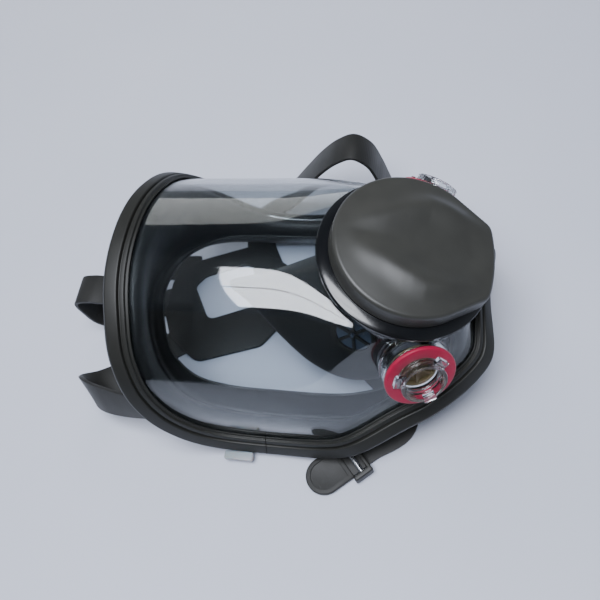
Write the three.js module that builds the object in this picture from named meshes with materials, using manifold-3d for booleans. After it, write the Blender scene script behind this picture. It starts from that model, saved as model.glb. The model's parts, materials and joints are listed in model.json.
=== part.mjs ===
// A full-face respirator: a clear wrap-round visor in a two-piece clamp frame, a soft face seal and
// inner nose cup, a central exhalation unit under a cover, a bayonet filter port on each cheek and
// a moulded five-strap head harness. Millimetres. The mask lies with its face opening down on Z = 0:
// +Z is out of the front of the visor, +Y is towards the forehead and +X is the wearer's left.

import * as THREE from 'three';
import { mergeVertices } from 'three/addons/utils/BufferGeometryUtils.js';
import Module from 'manifold-3d';

const wasm = await Module();
wasm.setup();

// ---- driving dimensions ----

const GAP = 0.3; // air left between two pieces that touch

// Visor
const VISOR_RADIUS = 80; // bend of the wrap-round front
const VISOR_AXIS_Z = 26.5; // height of the bend's axis above the table
const VISOR_WALL = 3;
const VISOR_BLEND = 4; // softness of the edges between the bend and the flats
const VISOR_RIM_LIP = 4; // how far the visor's edge runs into the frame
const UNIT_TILT = 20.8; // degrees that the central unit leans to the chin
const UNIT_BASE = new THREE.Vector3(0, -53.3, 86.8); // where its axis meets the visor
const PORT_WAY = new THREE.Vector3(46.9, -7.1, -22.5).normalize(); // from the unit's base to the left port's
const PORT_NEST = 11.5; // how far a port's drum tucks in beside the unit's collar
const PORT_DIRECTION = new THREE.Vector3(0.842, -0.41, 0.351).normalize();
const CHIN_WALL_POINT = new THREE.Vector3(0, -89.5, 62);
const CHIN_WALL_DIRECTION = new THREE.Vector3(0, -0.94, 0.34).normalize();

// Clamp frame: its band, ridge and grooves are measured outwards from the edge of the clear window
const BAND_WIDTH = 15;
const BAND_PROUD = 2.6; // how far the band stands over the visor's surface
const RIDGE_START = 1.6;
const RIDGE_END = 4.7;
const BAND_START = 6.2;
const FRAME_WALL = 2;
const FRAME_FLARE = 38; // degrees that the band leans outwards where the mask is lowest
const SEAM_Y = 25; // where the upper and lower halves meet
const CLAMP_EAR = 4; // thickness of each half's screw ear
const CLAMP_EAR_DEPTH = 6.6;
const CLAMP_SCREW_RADIUS = 1.25;
const CLAMP_NUT_RADIUS = 2.5;

// Face seal
const SEAL_WALL = 2.2;

// Central unit
const UNIT_BORE = 31.5; // radius of the visor's hole
const COLLAR_RADIUS = 45.5; // the visor's own raised collar
const COLLAR_HEIGHT = 5.5;
const COLLAR_WALL = 3;
const UNIT_BOSS_WALL = 3;
const UNIT_BOSS_RADIUS = UNIT_BORE + UNIT_BOSS_WALL;
const UNIT_BOSS_DEPTH = 6; // the boss inside the visor that the lock ring pulls against
const ADAPTER_RADIUS = UNIT_BORE - 0.6;
const ADAPTER_WALL = 2.6;
const ADAPTER_HEIGHT = 13.5;
const LOCK_RING_HEIGHT = 3.7;
const SNOUT_STEP = 6.9;
const SNOUT_RADIUS = ADAPTER_RADIUS - SNOUT_STEP; // inner end of the adapter, which the nose cup grips
const SNOUT_DEPTH = 22;
const EXHALE_SEAT_HEIGHT = 2;
const EXHALE_FLAP_ROOM = 4.3; // air round the flap's edge, inside the adapter's tube
const EXHALE_FLAP_RADIUS = ADAPTER_RADIUS - ADAPTER_WALL - EXHALE_FLAP_ROOM;
const FLAP_THICKNESS = 1.2;
const COVER_RADIUS = 41.5;
const COVER_WALL = 2.2;
const COVER_EDGE_HEIGHT = 17.5; // the cover's front edge above the visor
const COVER_SKIRT = 10.5;
const COVER_DOME = 4.5;
const COVER_CHIN_LENGTH = 44.2; // from the axis to the cover's chin end
const COVER_CHIN_HALF_WIDTH = 22;

// Filter ports
const PORT_BORE = 16; // radius of the visor's hole
const PORT_DRUM_RADIUS = 18.5;
const PORT_DRUM_HEIGHT = 10.2;
const PORT_TUBE_RADIUS = 12.2;
const PORT_TUBE_HEIGHT = 18.6;
const PORT_TUBE_WALL = 2;
const PORT_TAIL = 6.4; // how far the connector reaches inside the visor
const PORT_LOCK_RADIUS = 17.6;
const PORT_LOCK_TOP = -4.2; // the lock ring's upper face, below the visor's inner face
const PORT_LUG_REACH = 3.4;
const GASKET_RADIUS = 19;
const GASKET_THICKNESS = 2.6;
const PORT_SPACING = COLLAR_RADIUS + PORT_DRUM_RADIUS - PORT_NEST;
// Where the left port's axis meets the visor.
const PORT_BASE = UNIT_BASE.clone().addScaledVector(PORT_WAY, PORT_SPACING);

// Nose cup
const CUP_WALL = 2;
const CUP_VALVE_RADIUS = 13;
const CUP_VALVE_PLACE = new THREE.Vector3(31.5, -27, 58);
const CUP_VALVE_DIRECTION = new THREE.Vector3(0.85, 0.15, 0.5).normalize();

// Harness
const STRAP_WIDTH = 20;
const STRAP_THICKNESS = 2.2;
const TEMPLE_HEIGHT = 48; // height on the visor's edge where the temple straps are clipped
const STRAP_REACH_Y = 160.6; // how far the forehead strap's fold stands out
const BAR_RADIUS = 1.6; // steel bar of a cheek buckle

// ---- materials ----

const material = (color, roughness, metalness = 0, opacity = 1) =>
  new THREE.MeshStandardMaterial({ color, roughness, metalness, opacity, transparent: opacity < 1 });
const clearPlastic = () => material('#dfe8ee', 0.05, 0, 0.3);
const framePlastic = () => material('#3d403c', 0.55);
const blackPlastic = () => material('#141516', 0.2);
const blackSilicone = () => material('#1c1e1f', 0.6);
const strapRubber = () => material('#2f322f', 0.65);
const redSilicone = () => material('#a10c38', 0.45);
const steel = () => material('#c8c9cb', 0.25, 1);
const valveSilicone = () => material('#b9c2c4', 0.5);

// ---- solids ----

// Makes a solid that can be joined and cut from a closed three.js geometry.
function toSolid(geometry, matrix) {
  const bare = geometry.clone();
  bare.deleteAttribute('normal');
  bare.deleteAttribute('uv');
  if (matrix) bare.applyMatrix4(matrix);
  const merged = mergeVertices(bare, 1e-4);
  const vertProperties = new Float32Array(merged.attributes.position.array);
  const triVerts = new Uint32Array(merged.index.array);
  return new wasm.Manifold(new wasm.Mesh({ numProp: 3, vertProperties, triVerts }));
}

function toGeometry(solid) {
  const mesh = solid.getMesh();
  const geometry = new THREE.BufferGeometry();
  geometry.setAttribute('position', new THREE.BufferAttribute(new Float32Array(mesh.vertProperties), 3));
  geometry.setIndex(new THREE.BufferAttribute(new Uint32Array(mesh.triVerts), 1));
  geometry.computeVertexNormals();
  return geometry;
}

function signedVolume(points, index) {
  let volume = 0;
  for (let i = 0; i < index.length; i += 3) {
    const cross = points[index[i + 1]].clone().cross(points[index[i + 2]]);
    volume += points[index[i]].dot(cross) / 6;
  }
  return volume;
}

// Builds one closed surface over points, with its faces turned outwards.
function closedSurface(points, index) {
  if (signedVolume(points, index) < 0) index.reverse();
  const geometry = new THREE.BufferGeometry().setFromPoints(points);
  geometry.setIndex(index);
  return geometry;
}

// Joins neighbouring rings of points with triangles.
function bandIndex(index, first, second, count) {
  for (let j = 0; j < count; j += 1) {
    const k = (j + 1) % count;
    index.push(first + j, second + j, first + k);
    index.push(first + k, second + j, second + k);
  }
}

// Skins rings into a closed tube: looped back to its start, or closed at both ends by flat caps.
function skin(rings, looped) {
  const count = rings[0].length;
  const index = [];
  for (let i = 0; i < rings.length - 1; i += 1) bandIndex(index, i * count, (i + 1) * count, count);
  if (looped) {
    bandIndex(index, (rings.length - 1) * count, 0, count);
  } else {
    capIndex(index, rings[0], 0, false);
    capIndex(index, rings[rings.length - 1], (rings.length - 1) * count, true);
  }
  return closedSurface(rings.flat(), index);
}

// Triangulates one flat end ring.
function capIndex(index, ring, first, isEnd) {
  const across = ring[1].clone().sub(ring[0]).normalize();
  const normal = new THREE.Vector3();
  for (let j = 0; j < ring.length; j += 1) {
    const next = ring[(j + 1) % ring.length];
    normal.add(ring[j].clone().sub(ring[0]).cross(next.clone().sub(ring[0])));
  }
  const up = normal.normalize().clone().cross(across);
  const flat = ring.map((p) => new THREE.Vector2(p.dot(across), p.dot(up)));
  for (const [a, b, c] of THREE.ShapeUtils.triangulateShape(flat, [])) {
    if (isEnd) index.push(first + a, first + c, first + b);
    else index.push(first + a, first + b, first + c);
  }
}

// Skins rings that shrink to a point at each end.
function dome(startPole, rings, endPole) {
  const count = rings[0].length;
  const points = [...rings.flat(), startPole, endPole];
  const index = [];
  for (let i = 0; i < rings.length - 1; i += 1) bandIndex(index, i * count, (i + 1) * count, count);
  const last = (rings.length - 1) * count;
  for (let j = 0; j < count; j += 1) {
    const k = (j + 1) % count;
    index.push(rings.length * count, j, k);
    index.push(rings.length * count + 1, last + k, last + j);
  }
  return closedSurface(points, index);
}

// Moves a grid of points by a wall thickness, along the grid's own normals.
function offsetRows(rows, wall) {
  return rows.map((row, i) => row.map((point, j) => {
    const up = rows[Math.max(i - 1, 0)][j];
    const down = rows[Math.min(i + 1, rows.length - 1)][j];
    const left = row[(j + row.length - 1) % row.length];
    const right = row[(j + 1) % row.length];
    const normal = down.clone().sub(up).cross(right.clone().sub(left)).normalize();
    return point.clone().addScaledVector(normal, wall);
  }));
}

const turned = (profile, segments = 40) => {
  const points = profile.map(([radius, height]) => new THREE.Vector2(radius, height));
  const lathe = new THREE.LatheGeometry([...points, points[0]], segments);
  return lathe.rotateX(Math.PI / 2);
};

// A ring, or a disc where the inner radius is zero, standing on its axis.
const ring = (inner, outer, low, high, segments) =>
  toSolid(turned([[inner, low], [outer, low], [outer, high], [inner, high]], segments));

const block = (x, y, z, place) => {
  const geometry = new THREE.BoxGeometry(x, y, z);
  return toSolid(geometry.translate(place[0], place[1], place[2]));
};

const extruded = (shape, low, high, curveSegments = 12) => {
  const geometry = new THREE.ExtrudeGeometry(shape, {
    depth: high - low, bevelEnabled: false, curveSegments,
  });
  return toSolid(geometry.translate(0, 0, low));
};

const union = (solids) => solids.reduce((sum, solid) => sum.add(solid));

const assembly = new THREE.Group();

function addPiece(parent, name, shape, finish) {
  const geometry = shape.isBufferGeometry ? shape : toGeometry(shape);
  const mesh = new THREE.Mesh(geometry, finish);
  mesh.name = name;
  parent.add(mesh);
  return mesh;
}

// A group that stands at a place with its own +Z along a direction and its +Y towards the forehead.
function stand(place, direction) {
  const group = new THREE.Group();
  const across = new THREE.Vector3(0, 1, 0).cross(direction).normalize();
  const up = direction.clone().cross(across);
  const basis = new THREE.Matrix4().makeBasis(across, up, direction);
  group.quaternion.setFromRotationMatrix(basis);
  group.position.copy(place);
  group.updateMatrix();
  assembly.add(group);
  return group;
}

const mirrored = (vector) => new THREE.Vector3(-vector.x, vector.y, vector.z);

// ---- visor surface: a bent sheet, a flat for the central unit, a flat for each port, a chin wall ----

const unitDirection = new THREE.Vector3(
  0,
  -Math.sin(THREE.MathUtils.degToRad(UNIT_TILT)),
  Math.cos(THREE.MathUtils.degToRad(UNIT_TILT)),
);
const flats = [
  [unitDirection, UNIT_BASE],
  [PORT_DIRECTION, PORT_BASE],
  [mirrored(PORT_DIRECTION), mirrored(PORT_BASE)],
  [CHIN_WALL_DIRECTION, CHIN_WALL_POINT],
];

// Roughly how far a point is outside the visor's outer surface; the flats blend into the bend.
function outsideVisor(point) {
  const bend = Math.hypot(point.x, point.z - VISOR_AXIS_Z) - VISOR_RADIUS;
  const distances = flats.map(([direction, place]) => direction.dot(point.clone().sub(place)));
  const sum = [bend, ...distances].reduce((total, d) => total + Math.exp(d / VISOR_BLEND), 0);
  return VISOR_BLEND * Math.log(sum);
}

// The point where a ray from the mask's middle meets the visor's outer surface.
function onVisor(target) {
  let near = 0;
  let far = 4 * VISOR_RADIUS;
  const direction = target.clone().normalize();
  for (let i = 0; i < 40; i += 1) {
    const middle = (near + far) / 2;
    if (outsideVisor(direction.clone().multiplyScalar(middle)) > 0) far = middle;
    else near = middle;
  }
  return direction.multiplyScalar(near);
}

function visorNormal(point) {
  const step = 0.5;
  const slope = (x, y, z) => {
    const move = new THREE.Vector3(x, y, z);
    return outsideVisor(point.clone().add(move)) - outsideVisor(point.clone().sub(move));
  };
  return new THREE.Vector3(slope(step, 0, 0), slope(0, step, 0), slope(0, 0, step)).normalize();
}

// ---- edge of the clear window, from the forehead's middle round one side to the chin's middle ----

const CREST_Y = 90;
const halfEdge = [
  [0, CREST_Y, VISOR_AXIS_Z + VISOR_RADIUS],
  [-40, 88.5, 95.8],
  [-62, 86.5, 77],
  [-73.5, 81.5, 58],
  [-79, 70, 38],
  [-80, 53, 22],
  [-80.5, SEAM_Y, 16],
  [-80, -6, 19],
  [-76, -29, 29],
  [-66, -50, 36],
  [-56, -66, 39],
  [-43, -79, 45],
  [-22, -86.5, 54],
  [0, -88.5, 58],
].map(([x, y, z]) => new THREE.Vector3(x, y, z));

// Closes a half outline by its mirror image.
const closedLoop = (half) => new THREE.CatmullRomCurve3(
  [...half, ...half.slice(1, -1).reverse().map(mirrored)], true, 'centripetal',
);

const edgeCurve = closedLoop(halfEdge);

// The visor's edge at a share of the way round: its point, run, outward band direction and normal.
function edgeFrame(share) {
  const wrapped = ((share % 1) + 1) % 1;
  const place = onVisor(edgeCurve.getPointAt(wrapped));
  const step = 0.012;
  const ahead = onVisor(edgeCurve.getPointAt((wrapped + step) % 1));
  const behind = onVisor(edgeCurve.getPointAt((wrapped + 1 - step) % 1));
  const run = ahead.sub(behind).normalize();
  const surface = new THREE.Vector3();
  for (const reach of [-0.05, -0.025, 0, 0.025, 0.05]) {
    surface.add(visorNormal(onVisor(edgeCurve.getPointAt((wrapped + 1 + reach) % 1))));
  }
  surface.addScaledVector(run, -surface.dot(run)).normalize();
  const outward = run.clone().cross(surface).normalize();
  const lowness = THREE.MathUtils.clamp(1 - place.z / (VISOR_AXIS_Z + VISOR_RADIUS), 0, 1);
  const flare = THREE.MathUtils.degToRad(FRAME_FLARE) * lowness ** 1.3;
  outward.multiplyScalar(Math.cos(flare)).addScaledVector(surface, Math.sin(flare)).normalize();
  const normal = outward.clone().cross(run).normalize();
  return { place, run, outward, normal };
}

const fromEdge = (frame, out, up) =>
  frame.place.clone().addScaledVector(frame.outward, out).addScaledVector(frame.normal, up);

const spread = (count, make) => Array.from({ length: count }, (unused, i) => make(i));

// ---- visor ----

const EDGE_STEPS = 50;
const UNIT_SEGMENTS = 36;
const PORT_SEGMENTS = 28;
const DOME_ROWS = 6;
const crownTarget = new THREE.Vector3(0, -12, VISOR_AXIS_Z + VISOR_RADIUS);
const edgeFrames = spread(EDGE_STEPS, (i) => edgeFrame(i / EDGE_STEPS));

function visorRow(share) {
  return edgeFrames.map(({ place }) => onVisor(crownTarget.clone().lerp(place, share)));
}

const outerRows = spread(DOME_ROWS, (i) => visorRow((i + 1) / DOME_ROWS));
const innerRows = outerRows.map((row, i) => row.map((point, j) => {
  const isEdge = i === DOME_ROWS - 1;
  const normal = isEdge ? edgeFrames[j].normal : visorNormal(point);
  return point.clone().addScaledVector(normal, -VISOR_WALL);
}));
const crown = onVisor(crownTarget);
const innerCrown = crown.clone().addScaledVector(visorNormal(crown), -VISOR_WALL);
const outerLip = edgeFrames.map((frame) => fromEdge(frame, VISOR_RIM_LIP, 0));
const innerLip = edgeFrames.map((frame) => fromEdge(frame, VISOR_RIM_LIP, -VISOR_WALL));

const unit = stand(UNIT_BASE, unitDirection);
const ports = [
  { side: 'left', group: stand(PORT_BASE, PORT_DIRECTION) },
  { side: 'right', group: stand(mirrored(PORT_BASE), mirrored(PORT_DIRECTION)) },
];
const insideVisor = toSolid(dome(innerCrown, innerRows, new THREE.Vector3()));

function makeVisor() {
  const rows = [...outerRows, outerLip, innerLip, ...innerRows.slice().reverse()];
  const shell = toSolid(dome(crown, rows, innerCrown));
  const collarInner = COLLAR_RADIUS - COLLAR_WALL;
  const collar = toSolid(turned([
    [collarInner - COLLAR_WALL, -12],
    [COLLAR_RADIUS - 1.8, -12],
    [COLLAR_RADIUS, -8],
    [COLLAR_RADIUS, COLLAR_HEIGHT / 2],
    [COLLAR_RADIUS - 1, COLLAR_HEIGHT],
    [collarInner, COLLAR_HEIGHT],
    [collarInner, 0],
    [collarInner - COLLAR_WALL, 0],
  ], UNIT_SEGMENTS), unit.matrix).subtract(insideVisor);
  const boss = ring(UNIT_BORE - 1, UNIT_BOSS_RADIUS, -UNIT_BOSS_DEPTH, -0.5, UNIT_SEGMENTS);
  const unitBore = ring(0, UNIT_BORE, -30, 30, UNIT_SEGMENTS).transform(unit.matrix.elements);
  const mouth = ring(0, collarInner, 0, 30, UNIT_SEGMENTS).transform(unit.matrix.elements);
  const lockLow = -UNIT_BOSS_DEPTH - LOCK_RING_HEIGHT - 1;
  const lockRoom = ring(UNIT_BORE - 1, UNIT_BOSS_RADIUS + GAP, lockLow, -UNIT_BOSS_DEPTH, UNIT_SEGMENTS);
  let visor = shell.add(collar).add(boss.transform(unit.matrix.elements))
    .subtract(unitBore).subtract(mouth).subtract(lockRoom.transform(unit.matrix.elements));
  for (const port of ports) {
    const place = port.group.matrix.elements;
    visor = visor.subtract(ring(0, PORT_BORE, -10, 20, PORT_SEGMENTS).transform(place))
      .subtract(ring(0, PORT_DRUM_RADIUS + 0.6, 0.15, 20, PORT_SEGMENTS).transform(place))
      .subtract(ring(0, PORT_LOCK_RADIUS + GAP, -12, PORT_LOCK_TOP + GAP, PORT_SEGMENTS).transform(place));
  }
  addPiece(assembly, 'visor', visor, clearPlastic());
}

makeVisor();

// ---- clamp frame: two halves with a slot that grips the visor's edge and the face seal's flange ----

const sealTop = -VISOR_WALL - GAP;
const sealBottom = sealTop - SEAL_WALL;
const slotFloor = VISOR_RIM_LIP + GAP + 0.4;
const backLip = sealBottom - GAP;
const webEdge = slotFloor + FRAME_WALL + 0.5;
const bandUnder = BAND_PROUD - FRAME_WALL - 1.2;
const skirtDepth = -4.2;
const frameOutline = [
  [0.2, GAP + 0.1],
  [0.2, 1.1],
  [RIDGE_START, 1.1],
  [RIDGE_START + 0.4, BAND_PROUD - 0.2],
  [RIDGE_END - 0.4, BAND_PROUD - 0.2],
  [RIDGE_END, 0.9],
  [BAND_START - 0.4, 0.9],
  [BAND_START, BAND_PROUD],
  [BAND_WIDTH - 1.8, BAND_PROUD - 0.2],
  [BAND_WIDTH, BAND_PROUD - 2],
  [BAND_WIDTH, skirtDepth],
  [BAND_WIDTH - FRAME_WALL, skirtDepth],
  [BAND_WIDTH - FRAME_WALL, bandUnder],
  [webEdge, bandUnder],
  [webEdge, backLip - FRAME_WALL],
  [1, backLip - FRAME_WALL],
  [1, backLip],
  [slotFloor, backLip],
  [slotFloor, GAP + 0.1],
];

// How far round the edge, as a share of its length, the two halves meet on the right-hand side.
function findSeam() {
  const shares = spread(200, (i) => 0.5 * (i / 200));
  const toSeam = (share) => Math.abs(edgeCurve.getPointAt(share).y - SEAM_Y);
  return shares.reduce((best, share) => (toSeam(share) < toSeam(best) ? share : best));
}

const seamShare = findSeam();
const edgeLength = edgeCurve.getLength();
const seamGap = (GAP / 2 + 0.05) / edgeLength;
const earShare = CLAMP_EAR / edgeLength;

// Stations along the edge from one share to another, in step with the visor's own.
function stations(start, end) {
  const between = spread(2 * EDGE_STEPS, (i) => i / EDGE_STEPS);
  const margin = 0.2 / EDGE_STEPS;
  return [start, ...between.filter((share) => share > start + margin && share < end - margin), end];
}

function frameRun(shares, outline) {
  const rings = shares.map((share) => {
    const frame = edgeFrame(share);
    return outline.map(([out, up]) => fromEdge(frame, out, up));
  });
  return toSolid(skin(rings, false));
}

// Screw ears stand in the hollow behind the band, one on each half at each seam.
const earOutline = [
  [webEdge - 0.4, bandUnder + 0.4],
  [webEdge - 0.4, -CLAMP_EAR_DEPTH],
  [BAND_WIDTH - FRAME_WALL + 0.4, -CLAMP_EAR_DEPTH],
  [BAND_WIDTH - FRAME_WALL + 0.4, bandUnder + 0.4],
];
const earMiddle = [(webEdge + BAND_WIDTH - FRAME_WALL) / 2, (bandUnder - CLAMP_EAR_DEPTH) / 2];

function seamMatrix(share) {
  const frame = edgeFrame(share);
  const place = fromEdge(frame, earMiddle[0], earMiddle[1]);
  const up = frame.run.clone().cross(frame.outward);
  const basis = new THREE.Matrix4().makeBasis(frame.outward, up, frame.run);
  return basis.setPosition(place);
}

const clampSeat = CLAMP_EAR + 1.2; // from the seam to the screw's head and to its nut

function makeFrameHalf(name, start, end) {
  const band = frameRun(stations(start, end), frameOutline);
  const firstEar = frameRun([start, start + earShare], earOutline);
  const lastEar = frameRun([end - earShare, end], earOutline);
  const drill = ring(0, CLAMP_SCREW_RADIUS + GAP, -15, 15, 16)
    .add(ring(0, CLAMP_NUT_RADIUS + GAP, -clampSeat - 3, -clampSeat + GAP, 16))
    .add(ring(0, CLAMP_NUT_RADIUS + GAP, clampSeat - GAP, clampSeat + 3, 16));
  const half = band.add(firstEar).add(lastEar)
    .subtract(drill.transform(seamMatrix(seamShare).elements))
    .subtract(drill.transform(seamMatrix(1 - seamShare).elements));
  addPiece(assembly, name, half, framePlastic());
}

makeFrameHalf('frame_lower', seamShare + seamGap, 1 - seamShare - seamGap);
makeFrameHalf('frame_upper', 1 - seamShare + seamGap, 1 + seamShare - seamGap);

// A pan-head screw runs through both ears into a nut.
function makeClampScrew(side, share) {
  const matrix = seamMatrix(share);
  const screw = turned([
    [0, clampSeat + 1.8], [2.1, clampSeat + 1.2], [2.1, clampSeat], [CLAMP_SCREW_RADIUS, clampSeat],
    [CLAMP_SCREW_RADIUS, -clampSeat - 2], [0, -clampSeat - 2],
  ].reverse(), 16);
  addPiece(assembly, `clamp_screw_${side}`, toSolid(screw, matrix), steel());
  const nut = ring(CLAMP_SCREW_RADIUS + GAP, CLAMP_NUT_RADIUS, -clampSeat - 1.6, -clampSeat, 6);
  addPiece(assembly, `clamp_nut_${side}`, nut.transform(matrix.elements), steel());
}

makeClampScrew('right', seamShare);
makeClampScrew('left', 1 - seamShare);

// ---- face seal: a flange in the frame's slot, a skirt down to the face and an inturned lip ----

const sealFoot = closedLoop([
  [0, 110, 40], [-28, 105, 33], [-48, 94, 22], [-60, 74, 10], [-63, 48, 5.5], [-63.5, 15, 5],
  [-62, -15, 5], [-55, -42, 5], [-42, -62, 6], [-22, -76, 8], [0, -81, 9],
].map(([x, y, z]) => new THREE.Vector3(x, y, z)));
const sealLip = closedLoop([
  [0, 96, 46], [-22, 93, 42], [-38, 86, 36], [-50, 70, 32], [-54, 50, 29], [-54.5, 20, 27],
  [-54, -5, 26], [-51, -28, 25], [-42, -50, 25], [-24, -66, 26], [0, -72, 27],
].map(([x, y, z]) => new THREE.Vector3(x, y, z)));

function makeFaceSeal() {
  const rows = [
    edgeFrames.map((frame) => fromEdge(frame, VISOR_RIM_LIP - 0.3, sealTop)),
    edgeFrames.map((frame) => fromEdge(frame, -1, sealTop)),
    edgeFrames.map((frame) => fromEdge(frame, -4, sealTop - 1.5)),
    edgeFrames.map((frame) => fromEdge(frame, -4.5, sealTop - 8)),
    edgeFrames.map((frame, i) => {
      const foot = sealFoot.getPointAt(i / EDGE_STEPS);
      return fromEdge(frame, -3, sealTop - 11).lerp(foot, 0.5);
    }),
    spread(EDGE_STEPS, (i) => sealFoot.getPointAt(i / EDGE_STEPS)),
    spread(EDGE_STEPS, (i) => {
      const foot = sealFoot.getPointAt(i / EDGE_STEPS);
      const lip = sealLip.getPointAt(i / EDGE_STEPS);
      return foot.lerp(lip, 0.4).add(new THREE.Vector3(0, 0, -3));
    }),
    spread(EDGE_STEPS, (i) => sealLip.getPointAt(i / EDGE_STEPS)),
  ];
  const inner = offsetRows(rows, SEAL_WALL);
  const sections = [...rows, ...inner.reverse()];
  addPiece(assembly, 'face_seal', toSolid(skin(sections, true)), blackSilicone());
}

makeFaceSeal();

// ---- central unit ----

const mouthRadius = COLLAR_RADIUS - COLLAR_WALL;

// Spokes from a hub to a rim, as one flat spider.
function spider(hub, rim, spokeWidth, low, high, count) {
  const spokes = spread(count, (i) => {
    const spoke = block(rim - hub + 1, spokeWidth, high - low, [(rim + hub) / 2, 0, (low + high) / 2]);
    return spoke.rotate([0, 0, (360 * i) / count]);
  });
  return union([ring(0, hub, low, high, 16), ...spokes]);
}

const tubeInner = ADAPTER_RADIUS - ADAPTER_WALL;
const flangeRadius = mouthRadius - 0.7;
const upstandHeight = COLLAR_HEIGHT + 0.7;
const upstandWall = 3;
const flangeTop = 3.3;
const seatLedge = 2.5;

function makeAdapter() {
  const snoutTop = -UNIT_BOSS_DEPTH - LOCK_RING_HEIGHT - 1;
  const adapter = toSolid(turned([
    [SNOUT_RADIUS - ADAPTER_WALL, -SNOUT_DEPTH],
    [SNOUT_RADIUS, -SNOUT_DEPTH],
    [SNOUT_RADIUS, snoutTop],
    [ADAPTER_RADIUS, snoutTop],
    [ADAPTER_RADIUS, GAP],
    [flangeRadius, GAP],
    [flangeRadius, upstandHeight],
    [flangeRadius - upstandWall, upstandHeight],
    [flangeRadius - upstandWall, flangeTop],
    [ADAPTER_RADIUS, flangeTop],
    [ADAPTER_RADIUS, ADAPTER_HEIGHT],
    [tubeInner, ADAPTER_HEIGHT],
    [tubeInner, EXHALE_SEAT_HEIGHT - GAP],
    [tubeInner - seatLedge, EXHALE_SEAT_HEIGHT - GAP],
    [tubeInner - seatLedge, -4],
    [SNOUT_RADIUS - ADAPTER_WALL, snoutTop + 2.5],
  ], UNIT_SEGMENTS));
  addPiece(unit, 'adapter_body', adapter, blackPlastic());
  const sealOuter = flangeRadius - upstandWall - GAP;
  const sealRing = ring(ADAPTER_RADIUS + GAP, sealOuter, flangeTop + GAP, COLLAR_HEIGHT, UNIT_SEGMENTS);
  addPiece(unit, 'adapter_seal_ring', sealRing, redSilicone());
  const lockTop = -UNIT_BOSS_DEPTH - GAP;
  const lockLow = lockTop - LOCK_RING_HEIGHT;
  const lockRing = ring(ADAPTER_RADIUS + GAP, UNIT_BOSS_RADIUS, lockLow, lockTop, UNIT_SEGMENTS);
  addPiece(unit, 'adapter_lock_ring', lockRing, blackPlastic());
}

function makeExhaleValve() {
  const low = EXHALE_SEAT_HEIGHT;
  const high = EXHALE_SEAT_HEIGHT + 2;
  const rim = ring(EXHALE_FLAP_RADIUS - 2, tubeInner - GAP, low, high, 36);
  const seat = union([rim, spider(4, EXHALE_FLAP_RADIUS - 1.5, 1.8, low, high, 6)])
    .subtract(ring(0, 1.9, low - 1, high + 1, 16));
  addPiece(unit, 'exhale_valve_seat', seat, blackPlastic());
  const flapLow = high + GAP;
  const flap = union([
    ring(0, EXHALE_FLAP_RADIUS, flapLow, flapLow + FLAP_THICKNESS, 36),
    ring(0, 1.5, low - 1.5, flapLow + 0.5, 16),
  ]);
  addPiece(unit, 'exhale_valve_flap', flap, valveSilicone());
}

// The cover's outline: a circle drawn out into a blunt chin, set in from its outer size.
function coverOutline(inset) {
  const radius = COVER_RADIUS - inset;
  const halfWidth = COVER_CHIN_HALF_WIDTH - inset * 0.6;
  const cornerY = -(COVER_CHIN_LENGTH - 2.6 - inset);
  const reach = Math.hypot(halfWidth, cornerY);
  const tangent = Math.atan2(cornerY, halfWidth) + Math.acos(Math.min(radius / reach, 1));
  const shape = new THREE.Shape();
  shape.moveTo(radius * Math.cos(tangent), radius * Math.sin(tangent));
  shape.absarc(0, 0, radius, tangent, Math.PI - tangent, false);
  shape.lineTo(-halfWidth - 0.5, cornerY + 1);
  shape.quadraticCurveTo(-halfWidth, cornerY, -halfWidth + 1.5, cornerY - 0.3);
  shape.quadraticCurveTo(0, cornerY - 4.9, halfWidth - 1.5, cornerY - 0.3);
  shape.quadraticCurveTo(halfWidth, cornerY, halfWidth + 0.5, cornerY + 1);
  shape.closePath();
  return shape;
}

function coverRow(inset, height, share = 1) {
  const outline = coverOutline(inset).getSpacedPoints(36).slice(0, -1);
  return outline.map((p) => new THREE.Vector3(p.x * share, p.y * share, height));
}

function makeCover() {
  const bottom = COVER_EDGE_HEIGHT - COVER_SKIRT;
  const shoulder = COVER_EDGE_HEIGHT - 1.2;
  const domeHeight = (share) => COVER_EDGE_HEIGHT + COVER_DOME * (1 - share * share);
  const shares = [0.82, 0.6, 0.38, 0.16];
  const outer = [
    ...shares.slice().reverse().map((share) => coverRow(1.2, domeHeight(share), share)),
    coverRow(1.2, COVER_EDGE_HEIGHT),
    coverRow(0, shoulder),
    coverRow(0, bottom),
  ];
  const inner = [
    coverRow(COVER_WALL, bottom),
    coverRow(COVER_WALL, shoulder - 1),
    ...shares.map((share) => coverRow(COVER_WALL, domeHeight(share) - COVER_WALL, share)),
  ];
  const outerPole = new THREE.Vector3(0, 0, domeHeight(0));
  const innerPole = new THREE.Vector3(0, 0, domeHeight(0) - COVER_WALL);
  const shell = toSolid(dome(outerPole, [...outer, ...inner], innerPole));
  const clipLow = ADAPTER_HEIGHT - 4;
  const clipHigh = domeHeight(ADAPTER_RADIUS / COVER_RADIUS) - COVER_WALL / 2;
  const clip = ring(ADAPTER_RADIUS + GAP, ADAPTER_RADIUS + 2.3, clipLow, clipHigh, 36);
  const vent = block(100, 16, 4.5, [0, 0, clipLow + 2.2]);
  const notchedClip = clip.subtract(vent).subtract(vent.rotate([0, 0, 90]));
  addPiece(unit, 'exhale_cover', shell.add(notchedClip), framePlastic());
}

makeAdapter();
makeExhaleValve();
makeCover();

// ---- filter ports ----

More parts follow.
